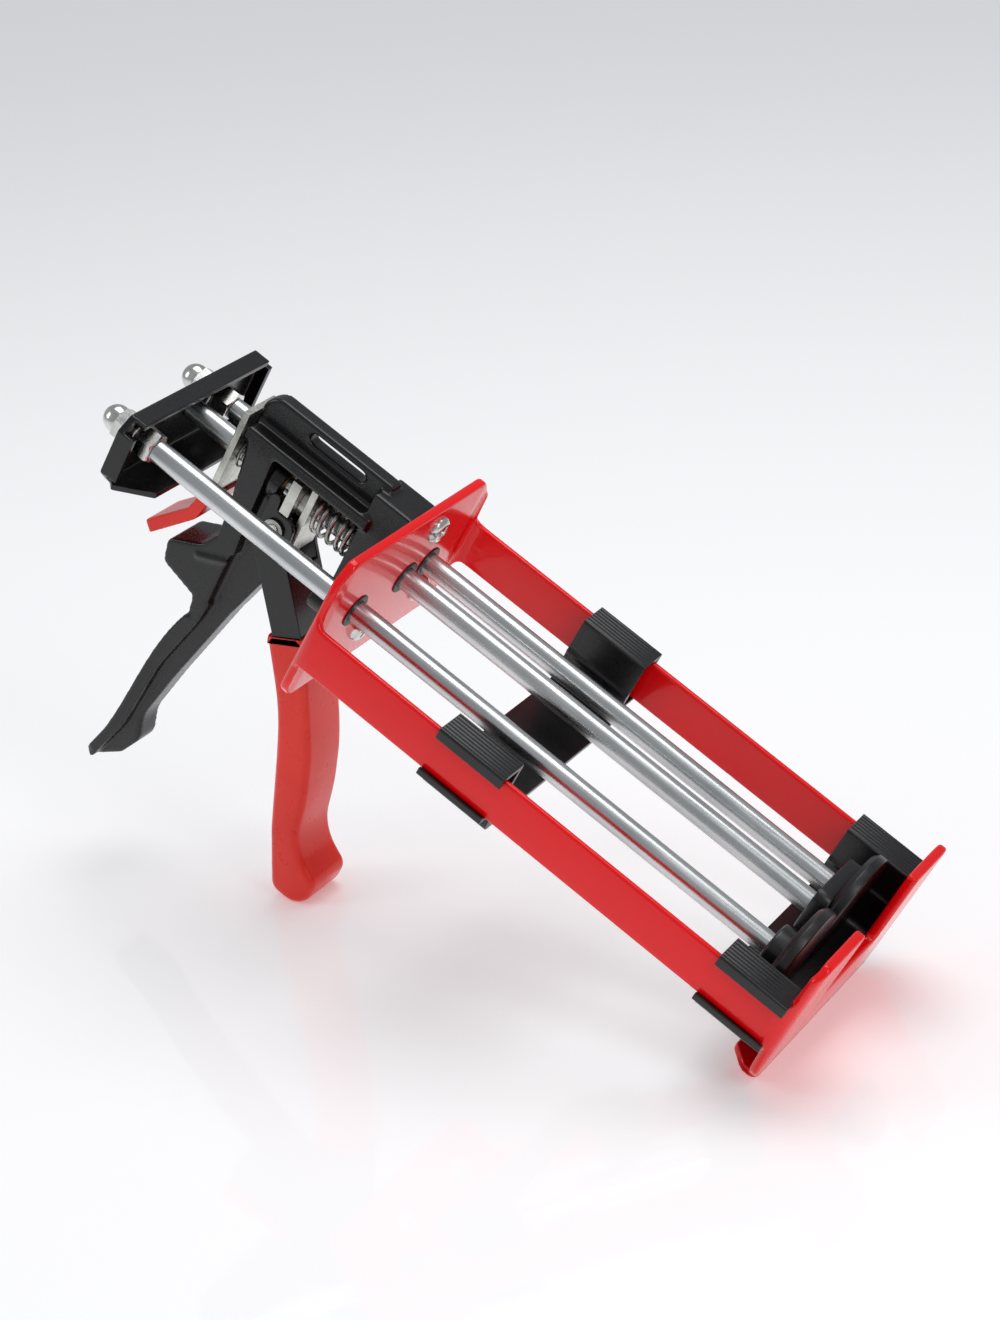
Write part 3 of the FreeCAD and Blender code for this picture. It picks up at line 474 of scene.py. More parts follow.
@dataclass(frozen=True)
class Spring:
    """Coil spring with its end turns drawn close. Sizes in millimetres.

    Args:
        node: the CAD node it stands for.
        radius: mean radius of the coil.
        wire: wire diameter.
        length: overall length.
        turns: number of turns.
        start: point on the axis where it begins.
        along: axis number of the gun that it runs along.
        joint: the joint that squeezes it, or nothing.
        keep: share of its length left at the joint's limit; not used.
        steps: points on each turn of the wire's path.
        closing: how much the end turns are drawn together.
    """

    node: str
    radius: float
    wire: float
    length: float
    turns: float
    start: tuple[float, float, float]
    along: int
    joint: str = ""
    keep: float = 1.0
    steps: int = 36
    closing: float = 0.06

    def path(self) -> Array:
        """Helix: the angle grows evenly, and the rise lags by a sine so that the end turns are close."""
        share = np.linspace(0, 1, round(self.turns * self.steps))
        angle = share * self.turns * 2 * math.pi
        lag = self.closing * np.sin(2 * math.pi * share)
        rise = self.wire / 2 + (self.length - self.wire) * (share - lag)
        first, second = [axis for axis in range(3) if axis != self.along]
        points = np.tile(np.array(self.start), (len(share), 1))
        points[:, self.along] += rise
        points[:, first] += self.radius * np.cos(angle)
        points[:, second] += self.radius * np.sin(angle)
        return points

    def build(self) -> None:
        """Build the spring."""
        wire = tube(self.path(), self.wire / 2, self.along)
        item = build_piece(self.node + "_wire", wire, Body.FRAME, Slot.SPRING, (self.node,), 60)
        if self.joint:
            anchor = np.array(self.start)
            anchor[self.along] += self.length
            tuple(GUN.place(anchor).tolist())
            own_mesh(item)


def smooth_path(stops: list[tuple[float, float, float]], count: int = 40) -> Array:
    """Curve through a few stops: each coordinate is a polynomial, a cubic at most, of the run so far."""
    marks = np.array(stops, float)
    run = np.concatenate([[0], np.cumsum(np.linalg.norm(np.diff(marks, axis=0), axis=1))])
    order = min(3, len(stops) - 1)
    at = np.linspace(0, run[-1], count)
    curves = [np.polyval(np.polyfit(run, marks[:, axis], order), at) for axis in range(3)]
    return np.column_stack(curves)


# ---------------------------------------------------------------- objects

def finish_object(item: bpy.types.Object, body: Body, slot: Slot,
                  nodes: tuple[str, ...]) -> bpy.types.Object:
    """Dress a piece, let it ride on its body and stand for CAD nodes."""
    PALETTE.dress(item, slot)
    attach(item, body.value)
    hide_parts(*nodes)
    LOG.info("%s: %d faces on %s", item.name, len(item.data.polygons), body.value)
    return item


def link_mesh(name: str, mesh: bpy.types.Mesh, sharp_degrees: float) -> bpy.types.Object:
    """Link a mesh as an object, smooth except at edges sharper than an angle."""
    mesh.shade_smooth()
    item = bpy.data.objects.new(name, mesh)
    bpy.context.scene.collection.objects.link(item)
    mesh.set_sharp_from_angle(angle=math.radians(sharp_degrees))
    return item


def build_piece(name: str, shell: Shell, body: Body, slot: Slot, nodes: tuple[str, ...],
                sharp_degrees: float = 40.0) -> bpy.types.Object:
    """Make a piece from a shell in the gun's millimetres.

    Args:
        name: the piece's name.
        shell: points and faces.
        body: what it rides on.
        slot: its finish.
        nodes: CAD nodes it stands for.
        sharp_degrees: edges above this angle stay crisp.

    Returns:
        The object.
    """
    points, faces = shell
    mesh = bpy.data.meshes.new(name)
    mesh.from_pydata(GUN.place(points), [], faces)
    work = bmesh.new()
    work.from_mesh(mesh)
    bmesh.ops.remove_doubles(work, verts=work.verts, dist=1e-6)
    bmesh.ops.recalc_face_normals(work, faces=work.faces)
    work.to_mesh(mesh)
    work.free()
    return finish_object(link_mesh(name, mesh, sharp_degrees), body, slot, nodes)


def node_copy(node: str) -> bmesh.types.BMesh:
    """A CAD node's mesh with its loose triangles merged and its flat faces made whole."""
    work = bmesh.new()
    work.from_mesh(frame["nodes"][node].data)
    bmesh.ops.remove_doubles(work, verts=work.verts, dist=2e-6)
    bmesh.ops.dissolve_limit(work, angle_limit=math.radians(0.5), verts=work.verts, edges=work.edges)
    return work


def eased_copy(node: str, body: Body, slot: Slot, width: float) -> bpy.types.Object:
    """A CAD node's shape with its edges eased by a small bevel.

    Args:
        node: the CAD node, which the copy stands for.
        body: what it rides on.
        slot: its finish.
        width: bevel in millimetres.

    Returns:
        The object.
    """
    name = node + "_eased"
    work = node_copy(node)
    mesh = bpy.data.meshes.new(name)
    work.to_mesh(mesh)
    work.free()
    item = link_mesh(name, mesh, CRISP_DEGREES)
    bevel = item.modifiers.new("eased_edges", "BEVEL")
    bevel.width = width * MM
    bevel.segments = 3
    bevel.limit_method = "ANGLE"
    bevel.angle_limit = math.radians(CRISP_DEGREES)
    return finish_object(item, body, slot, (node,))


def cast_copy(node: str, body: Body, slot: Slot, voxel: float, rounds: int,
              extra: list[Shell] | None = None) -> bpy.types.Object:
    """A CAD node's shape with added ribs, run together and softened as a casting is: the solids are
    laid in a grid of voxels along the gun's own axes, and the skin is then relaxed.

    Args:
        node: the CAD node, which the piece stands for.
        body: what it rides on.
        slot: its finish.
        voxel: voxel size in millimetres.
        rounds: how many times the skin is relaxed.
        extra: further shells in the gun's millimetres.

    Returns:
        The object.
    """
    name = node + "_skin"
    work = node_copy(node)
    work.transform(GUN.matrix().inverted())
    for points, faces in extra or []:
        added = bpy.data.meshes.new("added")
        added.from_pydata(np.asarray(points) * MM, [], faces)
        work.from_mesh(added)
        bpy.data.meshes.remove(added)
    bmesh.ops.recalc_face_normals(work, faces=work.faces)
    rough = bpy.data.meshes.new(name + "_rough")
    work.to_mesh(rough)
    work.free()
    item = bpy.data.objects.new(name, rough)
    bpy.context.scene.collection.objects.link(item)
    skin = item.modifiers.new("skin", "REMESH")
    skin.mode = "VOXEL"
    skin.voxel_size = voxel * MM
    relax = item.modifiers.new("relax", "SMOOTH")
    relax.factor = 0.5
    relax.iterations = rounds
    bpy.context.view_layer.update()
    graph = bpy.context.evaluated_depsgraph_get()
    made = bpy.data.meshes.new_from_object(item.evaluated_get(graph))
    bpy.data.objects.remove(item)
    made.name = name
    made.transform(GUN.matrix())
    return finish_object(link_mesh(name, made, 180.0), body, slot, (node,))


def keep_node(node: str, slot: Slot) -> None:
    """Give a CAD node that is right as it is the finish of its slot."""
    PALETTE.dress(frame["nodes"][node], slot)
    LOG.info("%s: CAD shape kept", node)


# ---------------------------------------------------------------- carriage

@dataclass
class Carriage:
    """Red carriage: one folded sheet round the cartridge bay, with a foot lip. Sizes in millimetres.

    Args:
        bay: room between the two plates.
        plate: thickness of the plates.
        strap: thickness of the straps.
        half: centre plane to the outside of a strap.
        low: lower edge of the plates.
        back_top: upper edge of the back plate.
        front_top: upper edge of the front plate's ears.
        notch_half: half the width of the front plate's notch.
        notch_floor: bottom of the notch.
        strap_top: upper edge of the straps.
        strap_low: lower edge of the straps.
        bend: radius of the sheet's middle line at each bend.
        rim: radius of the sheet's edges.
        neck: run from a plate's middle to where it has narrowed to the strap.
        ear_side: run to an ear's outer corner.
        ear_height: height of an ear's outer corner.
        back_ear: run to the back plate's upper corner.
        front_ear: run to the front plate's upper corner.
        foot_side: run to the outer corner of a plate's lower slope.
        foot_height: height of that corner.
        foot_end: run to where the lower edge is level.
        thin_start: run where the sheet starts to thin from plate to strap.
        thin_run: how far the thinning goes on.
        lip_depth: foot lip, from the front plate's outer face.
        lip_half: half the lip's width at its root.
        lip_thick: thickness of the lip.
        lip_root: how far the lip's root reaches up the plate.
        lip_inset: how far that root is set into the plate.
        lip_cut: how much narrower the lip is at its free edge, on each side.
    """

    bay: float = 241.0
    plate: float = 4.5
    strap: float = 3.0
    half: float = 63.2
    low: float = -37.4
    back_top: float = 36.0
    front_top: float = 31.0
    notch_half: float = 24.0
    notch_floor: float = -6.0
    strap_top: float = 8.2
    strap_low: float = -13.3
    bend: float = 6.5
    rim: float = 1.3
    neck: float = 61.0
    ear_side: float = 60.2
    ear_height: float = 25.0
    back_ear: float = 50.2
    front_ear: float = 55.5
    foot_side: float = 58.2
    foot_height: float = -30.8
    foot_end: float = 52.2
    thin_start: float = 50.0
    thin_run: float = 18.0
    lip_depth: float = 15.5
    lip_half: float = 50.0
    lip_thick: float = 4.0
    lip_root: float = 3.0
    lip_inset: float = 0.2
    lip_cut: float = 8.0

    def half_run(self) -> float:
        """Length of the sheet's middle line from the back plate's middle to the front plate's middle."""
        flat = self.half - self.strap / 2 - self.bend
        side = self.bay + self.plate - 2 * self.bend
        return 2 * flat + side + math.pi * self.bend

    def fold(self, run: Array, out: Array) -> tuple[Array, Array]:
        """Fold the flat sheet: a point at a run along the middle line lies on a straight, or on an arc of
        the bend's radius, and is moved out along the sheet's normal.

        Args:
            run: distance along the middle line from the back plate's middle.
            out: distance out of the sheet's middle surface.

        Returns:
            X and the distance from the centre plane.
        """
        flat = self.half - self.strap / 2 - self.bend
        quarter = math.pi / 2 * self.bend
        side = self.bay + self.plate - 2 * self.bend
        first = np.clip((run - flat) / self.bend, 0, math.pi / 2)
        second = np.clip((run - flat - quarter - side) / self.bend, 0, math.pi / 2)
        rear = -self.plate / 2
        x = (rear + self.bend * (1 - np.cos(first)) + np.clip(run - flat - quarter, 0, side)
             + self.bend * np.sin(second))
        y = (np.clip(run, 0, flat) + self.bend * np.sin(first) - self.bend * (1 - np.cos(second))
             - np.clip(run - flat - 2 * quarter - side, 0, flat))
        angle = first + second
        return x - out * np.cos(angle), y + out * np.sin(angle)

    def blank_edges(self) -> tuple[Array, Array]:
        """Upper and lower edge of the flat blank, as run along the middle line and height."""
        whole = self.half_run()
        upper = [(0, self.back_top, 0), (self.back_ear, self.back_top, 6),
                 (self.ear_side, self.ear_height, 4),
                 (self.neck, self.strap_top, 5), (whole - self.neck, self.strap_top, 5),
                 (whole - self.ear_side, self.ear_height, 4), (whole - self.front_ear, self.front_top, 4),
                 (whole - self.notch_half, self.front_top, 1.6),
                 (whole - self.notch_half, self.notch_floor, 3), (whole, self.notch_floor, 0)]
        lower = [(0, self.low, 0), (self.foot_end, self.low, 6), (self.foot_side, self.foot_height, 5),
                 (self.neck, self.strap_low, 5), (whole - self.neck, self.strap_low, 5),
                 (whole - self.foot_side, self.foot_height, 5), (whole - self.foot_end, self.low, 6),
                 (whole, self.low, 0)]
        return rounded(upper, closed=False, step=2.0), rounded(lower, closed=False, step=2.0)

    def sheet(self) -> Shell:
        """The folded sheet as one closed skin: the blank's upper and lower edges are drawn in round a
        quarter circle at each face, each pair is joined by a straight column, and the columns are folded."""
        whole = self.half_run()
        upper, lower = self.blank_edges()
        upper_out = -side_normals(upper, closed=False)
        lower_out = side_normals(lower, closed=False)
        matched = np.column_stack([upper[:, 0], np.interp(upper[:, 0], lower[:, 0], lower[:, 1])])
        matched_out = np.column_stack([np.interp(upper[:, 0], lower[:, 0], lower_out[:, axis])
                                       for axis in (0, 1)])
        nearest = np.minimum(upper[:, 0], whole - upper[:, 0])
        share = np.clip((nearest - self.thin_start) / self.thin_run, 0, 1)
        thick = (self.plate + (self.strap - self.plate) * share) / 2
        turn = np.linspace(0, math.pi / 2, 5)
        insets = self.rim * (1 - np.sin(turn))
        outs = 1 - np.cos(turn)
        chain = [(inset, -1, out) for inset, out in zip(insets, outs)]
        chain += [(inset, 1, out) for inset, out in zip(insets[::-1], outs[::-1])]
        rings = []
        for line, away, steps in ((upper, upper_out, chain), (matched, matched_out, chain[::-1])):
            for inset, face, out in steps:
                flat = line - away * inset
                x, y = self.fold(flat[:, 0], face * (thick - self.rim * out))
                rings.append(np.column_stack([x, -y, flat[:, 1]]))
        right = np.stack(rings, axis=1)
        left = right[-2:0:-1] * np.array([1.0, -1.0, 1.0])
        loop = np.concatenate([right, left])
        return loop.reshape(-1, 3), grid_faces(*loop.shape[:2], wrap_rows=True, wrap_columns=True)

    def foot(self) -> Shell:
        """Lip turned back under the front plate: its side outline is an L with a rounded bend."""
        front, under = self.bay + self.plate, self.low - self.lip_thick
        root, inside = self.low + self.lip_root, self.bay + self.lip_inset
        outline = rounded([(front, root, 0), (front, under, 4.2), (front - self.lip_depth, under, 1.5),
                           (front - self.lip_depth, self.low, 1.5), (inside, self.low, 0.6),
                           (inside, root, 0)], step=3.0)
        points, faces = prism(outline, -self.lip_half, self.lip_half, 1.2, across_gun)
        reach = np.clip((points[:, 0] - (front - self.lip_depth)) / self.lip_cut, 0, 1)
        points[:, 1] *= (self.lip_half - self.lip_cut * (1 - reach)) / self.lip_half
        return points, faces

    def build(self) -> None:
        """Build the folded sheet with its lip."""
        build_piece("carriage_sheet", merged([self.sheet(), self.foot()]), Body.FRAME, Slot.ENAMEL,
                    ("carriage_back_plate", "carriage_front_plate", "carriage_strap_right",
                     "carriage_strap_left"))


@dataclass
class PanScrews:
    """Pan-head screws with a cross recess, heads on the back plate. Sizes in millimetres.

    Args:
        head: radius of the head.
        height: height of the head.
        crown: share of the height that the dome loses towards its edge.
        edge_start: share of the radius where the edge starts to fall.
        edge_fall: how fast it falls.
        recess: reach of the cross from the middle.
        slot_half: half the width of a bar of the cross.
        slot_wall: width of its sloping walls.
        taper: length over which a bar runs out.
        depth: depth of the cross.
        cross_turn: turn of the cross, in radians.
        shank: radius of the shank.
        shank_length: length of the shank behind the plate's face.
        places: Y and Z of each screw.
    """

    head: float = 6.3
    height: float = 3.2
    crown: float = 0.16
    edge_start: float = 0.7
    edge_fall: float = 7.5
    recess: float = 3.4
    slot_half: float = 0.75
    slot_wall: float = 0.25
    taper: float = 1.6
    depth: float = 1.9
    cross_turn: float = 0.5
    shank: float = 3.0
    shank_length: float = 18.0
    places: tuple[tuple[float, float], ...] = ((18.7, 23.8), (33.0, -17.5), (-13.0, -17.5))

    def head_shell(self, place: tuple[float, float]) -> Shell:
        """Head: height over a disc is a flattened dome, sunk by a cross whose arms run out at their ends.

        Args:
            place: the screw's Y and Z.

        Returns:
            A closed shell.
        """
        share = np.concatenate([np.linspace(0, 0.6, 22), np.linspace(0.62, 1, 18)])[:, None]
        angle = np.linspace(0, 2 * math.pi, 96, endpoint=False)[None, :]
        fall = np.clip(1 - np.clip(share - self.edge_start, 0, 1) ** 2 * self.edge_fall, 0.1, 1)
        dome = self.height * (1 - share ** 2.0 * self.crown) * fall
        across = share * self.head * np.cos(angle + self.cross_turn)
        up = share * self.head * np.sin(angle + self.cross_turn)
        arm = np.maximum(self.arm(across, up), self.arm(up, across))
        x = dome - self.depth * arm
        disc = np.stack([x + 0 * angle, place[0] + share * self.head * np.cos(angle),
                         place[1] + share * self.head * np.sin(angle)], axis=-1)
        rim = disc[-1:].copy()
        rim[..., 0] = 0.0
        back = np.tile(np.array([0.0, *place]), (1, disc.shape[1], 1))
        points = np.concatenate([disc, rim, back])
        return points.reshape(-1, 3), grid_faces(len(points), disc.shape[1], wrap_columns=True)

    def arm(self, along: Array, aside: Array) -> Array:
        """How deep one bar of the cross is at each point, from 0 to 1."""
        wide = np.clip((self.slot_half - np.abs(aside)) / self.slot_wall + 0.5, 0, 1)
        reach = np.clip((self.recess - np.abs(along)) / self.taper, 0, 1)
        return wide * reach

    def build(self) -> None:
        """Build all heads and shanks."""
        end = -self.shank_length
        profile = [(end, 0), (end, self.shank - 0.4), (end + 0.6, self.shank), (0.2, self.shank), (0.2, 0)]
        shells = [self.head_shell(place) for place in self.places]
        shells += [turned(profile, place, 32) for place in self.places]
        build_piece("carriage_pan_screws", merged(shells), Body.FRAME, Slot.NUT, ("carriage_screws",), 50)


@dataclass
class Grommets:
    """Rubber rings that guide the rods through the back plate. Sizes in millimetres.

    Args:
        bore: radius of the hole.
        neck: radius of the ring inside the plate.
        flange: radius of the flange.
        proud: thickness of the flange.
        plate: thickness of the back plate.
        places: Y of each ring.
    """

    bore: float = 5.06
    neck: float = 7.0
    flange: float = 7.8
    proud: float = 0.6
    plate: float = 4.5
    places: tuple[float, ...] = (-28.0, 10.0, 28.0)

    def build(self) -> None:
        """Build the rings: a thin rounded flange and a neck through the plate."""
        ring = soft_profile([(-self.plate, self.bore, 0.3), (self.proud, self.bore, 0.25),
                             (self.proud, self.flange, 0.3), (0.0, self.flange, 0.2),
                             (0.0, self.neck, 0.2), (-self.plate, self.neck, 0.3)], closed=True)
        rings = merged([turned(ring, (side, 0.0), closed=True) for side in self.places])
        build_piece("rod_guide_rings", rings, Body.FRAME, Slot.RUBBER, ("rod_grommets",))


@dataclass
class Saddles:
    """Moulded trays hooked over both straps. Sizes in millimetres.

    Args:
        starts: rear end of each saddle.
        nodes: the CAD node of each saddle.
        length: length along the straps.
        wall: centre plane to the inner face of a wall.
        skin: thickness of floor, walls and covers.
        floor: height of the tray's inner floor.
        gap: play between the saddle and the strap.
        half: centre plane to the outside of a strap.
        strap_top: upper edge of the straps.
        strap_low: lower edge of the straps.
        hook: how far the cover's edge turns down the strap.
        toe: how far the lower edge turns up the strap.
        toe_skin: thickness of the lower hook.
        rib_pitch: distance between the covers' ribs.
        rib_height: height of those ribs.
        ridge_height: how far the wall's ridge stands out.
        ridge_place: height of the ridge up the wall.
        ridge_width: half the width of the ridge.
    """

    starts: tuple[float, ...] = (66.5, 208.0)
    nodes: tuple[str, ...] = ("saddle_middle", "saddle_front")
    length: float = 33.0
    wall: float = 50.0
    skin: float = 2.6
    floor: float = -25.4
    gap: float = 0.5
    half: float = 63.2
    strap_top: float = 8.2
    strap_low: float = -13.3
    hook: float = 2.6
    toe: float = 1.2
    toe_skin: float = 1.8
    rib_pitch: float = 2.1
    rib_height: float = 0.28
    ridge_height: float = 0.9
    ridge_place: float = -6.5
    ridge_width: float = 1.1

    def section(self) -> Array:
        """Section in Y and Z: a floor, two walls and four hooks, with cosine ribs on the covers and one
        bell-shaped ridge up each wall."""
        face = self.half + self.gap
        outer, toe_face = face + self.skin, face + self.toe_skin
        inner = self.wall + self.skin
        over, low = self.strap_top + self.gap, self.strap_low - self.gap
        top, bottom = over + self.skin, low - self.toe_skin
        hook_end, toe_end = self.strap_top - self.hook, self.strap_low + self.toe
        half = [(self.wall, self.floor, 3.0), (self.wall, top, 1.2), (outer, top, 1.2),
                (outer, hook_end, 0.8), (face, hook_end, 0.8), (face, over, 0.3), (inner, over, 0.3),
                (inner, low, 0.3), (face, low, 0.3), (face, toe_end, 0.5), (toe_face, toe_end, 0.5),
                (toe_face, bottom, 1.0), (inner + 1.5, bottom, 1.2), (inner, self.floor - self.skin, 4.0)]
        line = rounded(half + [(-y, z, r) for y, z, r in reversed(half)], step=0.35, arc_points=6)
        side = np.abs(line[:, 0])
        on_cover = (line[:, 1] > top - 0.05) & (side > self.wall + 1.5) & (side < outer - 1.7)
        groove = self.rib_height * (0.5 - 0.5 * np.cos(2 * math.pi * side / self.rib_pitch))
        line[:, 1] -= np.where(on_cover, groove, 0)
        on_wall = (side < self.wall + 0.05) & (line[:, 1] > self.floor + 3)
        ridge = self.ridge_height * np.exp(-((line[:, 1] - self.ridge_place) / self.ridge_width) ** 2)
        line[:, 0] -= np.where(on_wall, np.sign(line[:, 0]) * ridge, 0)
        return line

    def build(self) -> None:
        """Build both saddles."""
        section = self.section()
        for start, node in zip(self.starts, self.nodes):
            shell = prism(section, start, start + self.length, 0.2, along_gun)
            build_piece(node + "_tray", shell, Body.FRAME, Slot.NYLON, (node,), 50)


# ---------------------------------------------------------------- grip end

@dataclass
class GripEnd:
    """Die-cast body with its handle, the trigger, the drive and the release lever. Sizes in millimetres.

    Args:
        side_right: Y of the casting's right cheek.
        side_left: Y of its left cheek.
        rib: radius of the handle's ribs.
        tip_x: X of the finger grip's round tip.
        tip_z: Z of that tip.
        tip_radius: radius of that tip.
        grip_proud: how far the dipped grip stands out past the cheeks.
        grip_rim: radius of the dipped grip's side edges.
    """

    side_right: float = -2.0
    side_left: float = 22.0
    rib: float = 1.5
    tip_x: float = 24.5
    tip_z: float = -163.5
    tip_radius: float = 10.3
    grip_proud: float = 1.8
    grip_rim: float = 3.4

    def handle_ribs(self) -> list[Shell]:
        """Raised ribs on both cheeks: a curved one over the trigger's gap and one up the handle's back."""
        runs = ([(-84, -52), (-75, -47.5), (-69.5, -44.5)],
                [(-75.5, -82), (-82.6, -116), (-86, -157), (-90.3, -180)])
        shells = []
        for run in runs:
            for side in (self.side_right + 0.5, self.side_left - 0.5):
                shells.append(tube(smooth_path([(x, side, z) for x, z in run]), self.rib))
        return shells

    def dipped_grip(self) -> Shell:
        """Finger grip: its side outline is carried across the gun with deep round rims."""
        x, z, tip = self.tip_x, self.tip_z, self.tip_radius
        outline = rounded([(-38.8, -61.5, 0.8), (-18.8, -90, 120), (-9.8, -112, 60), (3.2, -146, 60),
                           (x - tip * 1.3, z + 1, 20), (x - tip * 0.75, z - tip, tip * 0.6),
                           (x + tip, z - tip, tip), (x + tip, z + tip * 0.7, tip * 0.6),
                           (17.8, -147, 25), (12.3, -122, 120), (4.8, -100, 120), (-22.7, -50.5, 0.8)],
                          step=2.5, arc_points=12)
        right, left = self.side_right - self.grip_proud, self.side_left + self.grip_proud
        return prism(outline, right, left, self.grip_rim, across_gun, 8)

    def build(self) -> None:
        """Build the casting's skin, the dipped grips and the eased sheet parts."""
        cast_copy("body_casting", Body.FRAME, Slot.CASTING, voxel=0.85, rounds=5, extra=self.handle_ribs())
        build_piece("trigger_grip_dipped", self.dipped_grip(), Body.TRIGGER, Slot.GRIP, ("trigger_grip",), 60)
        cast_copy("release_lever_sleeve", Body.RELEASE, Slot.GRIP, voxel=0.5, rounds=8)
        eased_copy("trigger_lever", Body.TRIGGER, Slot.PRESSING, 0.5)
        eased_copy("drive_plate_rear", Body.DRIVE, Slot.PLATE, 0.4)
        eased_copy("drive_plate_front", Body.DRIVE, Slot.PLATE, 0.4)
        eased_copy("release_lever", Body.RELEASE, Slot.PLATE, 0.4)
        eased_copy("trigger_pin", Body.FRAME, Slot.NUT, 0.4)
        eased_copy("drive_plate_spacer", Body.DRIVE, Slot.PLATE, 0.3)
        for node, slot in (("drive_rod_bushes", Slot.BUSH), ("trigger_pin_circlips", Slot.SPRING),
                           ("trigger_stop_pin", Slot.PLATE)):
            keep_node(node, slot)
        Spring("main_spring", radius=8.7, wire=2.2, length=21.2, turns=5, start=(-46.6, 10, 0), along=0,
               joint="drive_plate_slide", keep=0.74).build()
        Spring("release_spring", radius=7.2, wire=1.2, length=4.3, turns=1.5, start=(-89.2, 10, 0), along=0,
               joint="release_press", keep=0.75).build()
        Spring("trigger_spring", radius=4.6, wire=1.0, length=3.1, turns=1.8, start=(-57, 0.25, -14),
               along=1).build()


# ---------------------------------------------------------------- rods, yoke and plungers

@dataclass
class PushingAssembly:
    """Rods, yoke, nuts and plungers that travel together. Sizes in millimetres.

    Args:
        yoke_face: X of the yoke's front face.
        yoke_thick: thickness of the yoke's sheet.
        washer: radius of a washer.
        washer_thick: thickness of a washer.
        flats: distance across a nut's flats.
        nut: length of a lock nut.
        acorn: length of an acorn nut's hexagon.
        dome_radius: radius of an acorn nut's dome.
        bore: radius of the nuts' and washers' holes.
        push_sides: Y of the left and the right push rod.
        disc: radius of a plunger's disc.
        disc_side: centre plane to the middle of a disc.
        disc_rear: X of the discs' rear faces.
        disc_front: X of the discs' front faces.
        bevel: depth of the bevel on a disc's rear rim.
        hub: radius of the right plunger's hub.
        hub_rear: X of the rear end of the hub and of the left plunger's bar.
        hub_front: X of their front ends, just inside the discs.
    """

    yoke_face: float = -120.0
    yoke_thick: float = 3.0
    washer: float = 8.4
    washer_thick: float = 1.5
    flats: float = 13.0
    nut: float = 9.0
    acorn: float = 6.5
    dome_radius: float = 6.1
    bore: float = 4.0
    push_sides: tuple[float, float] = (28.0, -28.0)
    disc: float = 24.2
    disc_side: float = 24.8
    disc_rear: float = 224.0
    disc_front: float = 230.0
    bevel: float = 2.2
    hub: float = 11.0
    hub_rear: float = 217.0
    hub_front: float = 224.5

    def hexagon_nut(self, start: float, length: float, side: float, closed_end: bool) -> Shell:
        """Hexagonal nut: half the flats' distance over the cosine gives the radius round the axis, and a
        30 degree cone trims the corners at each end.

        Args:
            start: rear end.
            length: length along X.
            side: the axis's Y.
            closed_end: whether the rear corners stay whole, as under a dome.

        Returns:
            A closed shell.
        """
        angle = np.linspace(0, 2 * math.pi, 144, endpoint=False)
        hexagon = self.flats / 2 / np.cos((angle + math.pi / 6) % (math.pi / 3) - math.pi / 6)
        face = self.flats / 2 - 0.25
        trim = (hexagon - face) * math.tan(math.pi / 6)
        ends = np.full_like(angle, start), np.full_like(angle, start + length)
        rear = trim * (0.3 if closed_end else 1.0)
        rows = [(ends[0], self.bore), (ends[0], face), (ends[0] + rear, hexagon), (ends[1] - trim, hexagon),
                (ends[1], face), (ends[1], self.bore)]
        points = np.stack([np.column_stack([x, side + radius * np.cos(angle), radius * np.sin(angle)])
                           for x, radius in rows])
        return points.reshape(-1, 3), grid_faces(len(rows), len(angle), wrap_rows=True, wrap_columns=True)

    def dome(self, side: float) -> Shell:
        """Dome of an acorn nut: a short neck and a part sphere behind the hexagon."""
        base, radius = self.yoke_face - self.yoke_thick - self.acorn, self.dome_radius
        turn = np.linspace(0, math.pi / 2, 12)
        sphere = [(base - 2 - radius * math.sin(a), radius * math.cos(a)) for a in turn]
        neck = [(base + 1, 0), (base + 1, radius - 0.5), (base - 0.1, radius - 0.2), (base - 0.6, radius)]
        return turned(neck + sphere, (side, 0), 64)

    def plunger(self, side: float) -> Shell:
        """Disc: a rear face that is slightly hollow, a bevel on its rim and a flat front face."""
        rear, front, radius, bevel = self.disc_rear, self.disc_front, self.disc, self.bevel
        profile = soft_profile([(rear, 0, 0), (rear + 0.6, 15.5, 0.5), (rear, 17.0, 0.5),
                                (rear, radius - bevel, 0.8), (rear + bevel, radius, 0.6),
                                (front, radius, 0.8), (front, 0, 0)])
        return turned(profile, (side, 0), 128)

    def build(self) -> None:
        """Build nuts, washers, yoke, plungers, rods and the plungers' screws."""
        self.build_nuts()
        cast_copy("yoke", Body.RODS, Slot.PRESSING, voxel=0.5, rounds=6)
        self.build_plungers()
        for node in ("push_rod_right", "push_rod_left", "drive_rod"):
            eased_copy(node, Body.RODS, Slot.ROD, 0.5)
        eased_copy("plunger_screws", Body.RODS, Slot.SCREW, 0.3)

    def build_nuts(self) -> None:
        """Build the lock nuts, the washers and the acorn nuts."""
        face = self.yoke_face
        nuts = [self.hexagon_nut(face + self.washer_thick, self.nut, side, False) for side in self.push_sides]
        build_piece("lock_nuts_turned", merged(nuts), Body.RODS, Slot.NUT, ("yoke_lock_nuts",), 25)
        ring = soft_profile([(face, self.bore, 0.2), (face, self.washer, 0.4),
                             (face + self.washer_thick, self.washer, 0.4),
                             (face + self.washer_thick, self.bore, 0.2)], closed=True)
        rings = merged([turned(ring, (side, 0), closed=True) for side in self.push_sides])
        build_piece("washers_pressed", rings, Body.RODS, Slot.NUT, ("yoke_washers",))
        rear = face - self.yoke_thick - self.acorn
        acorns = [self.hexagon_nut(rear, self.acorn, side, True) for side in self.push_sides]
        acorns += [self.dome(side) for side in self.push_sides]
        build_piece("acorn_nuts_domed", merged(acorns), Body.RODS, Slot.NUT, ("acorn_nuts",), 25)

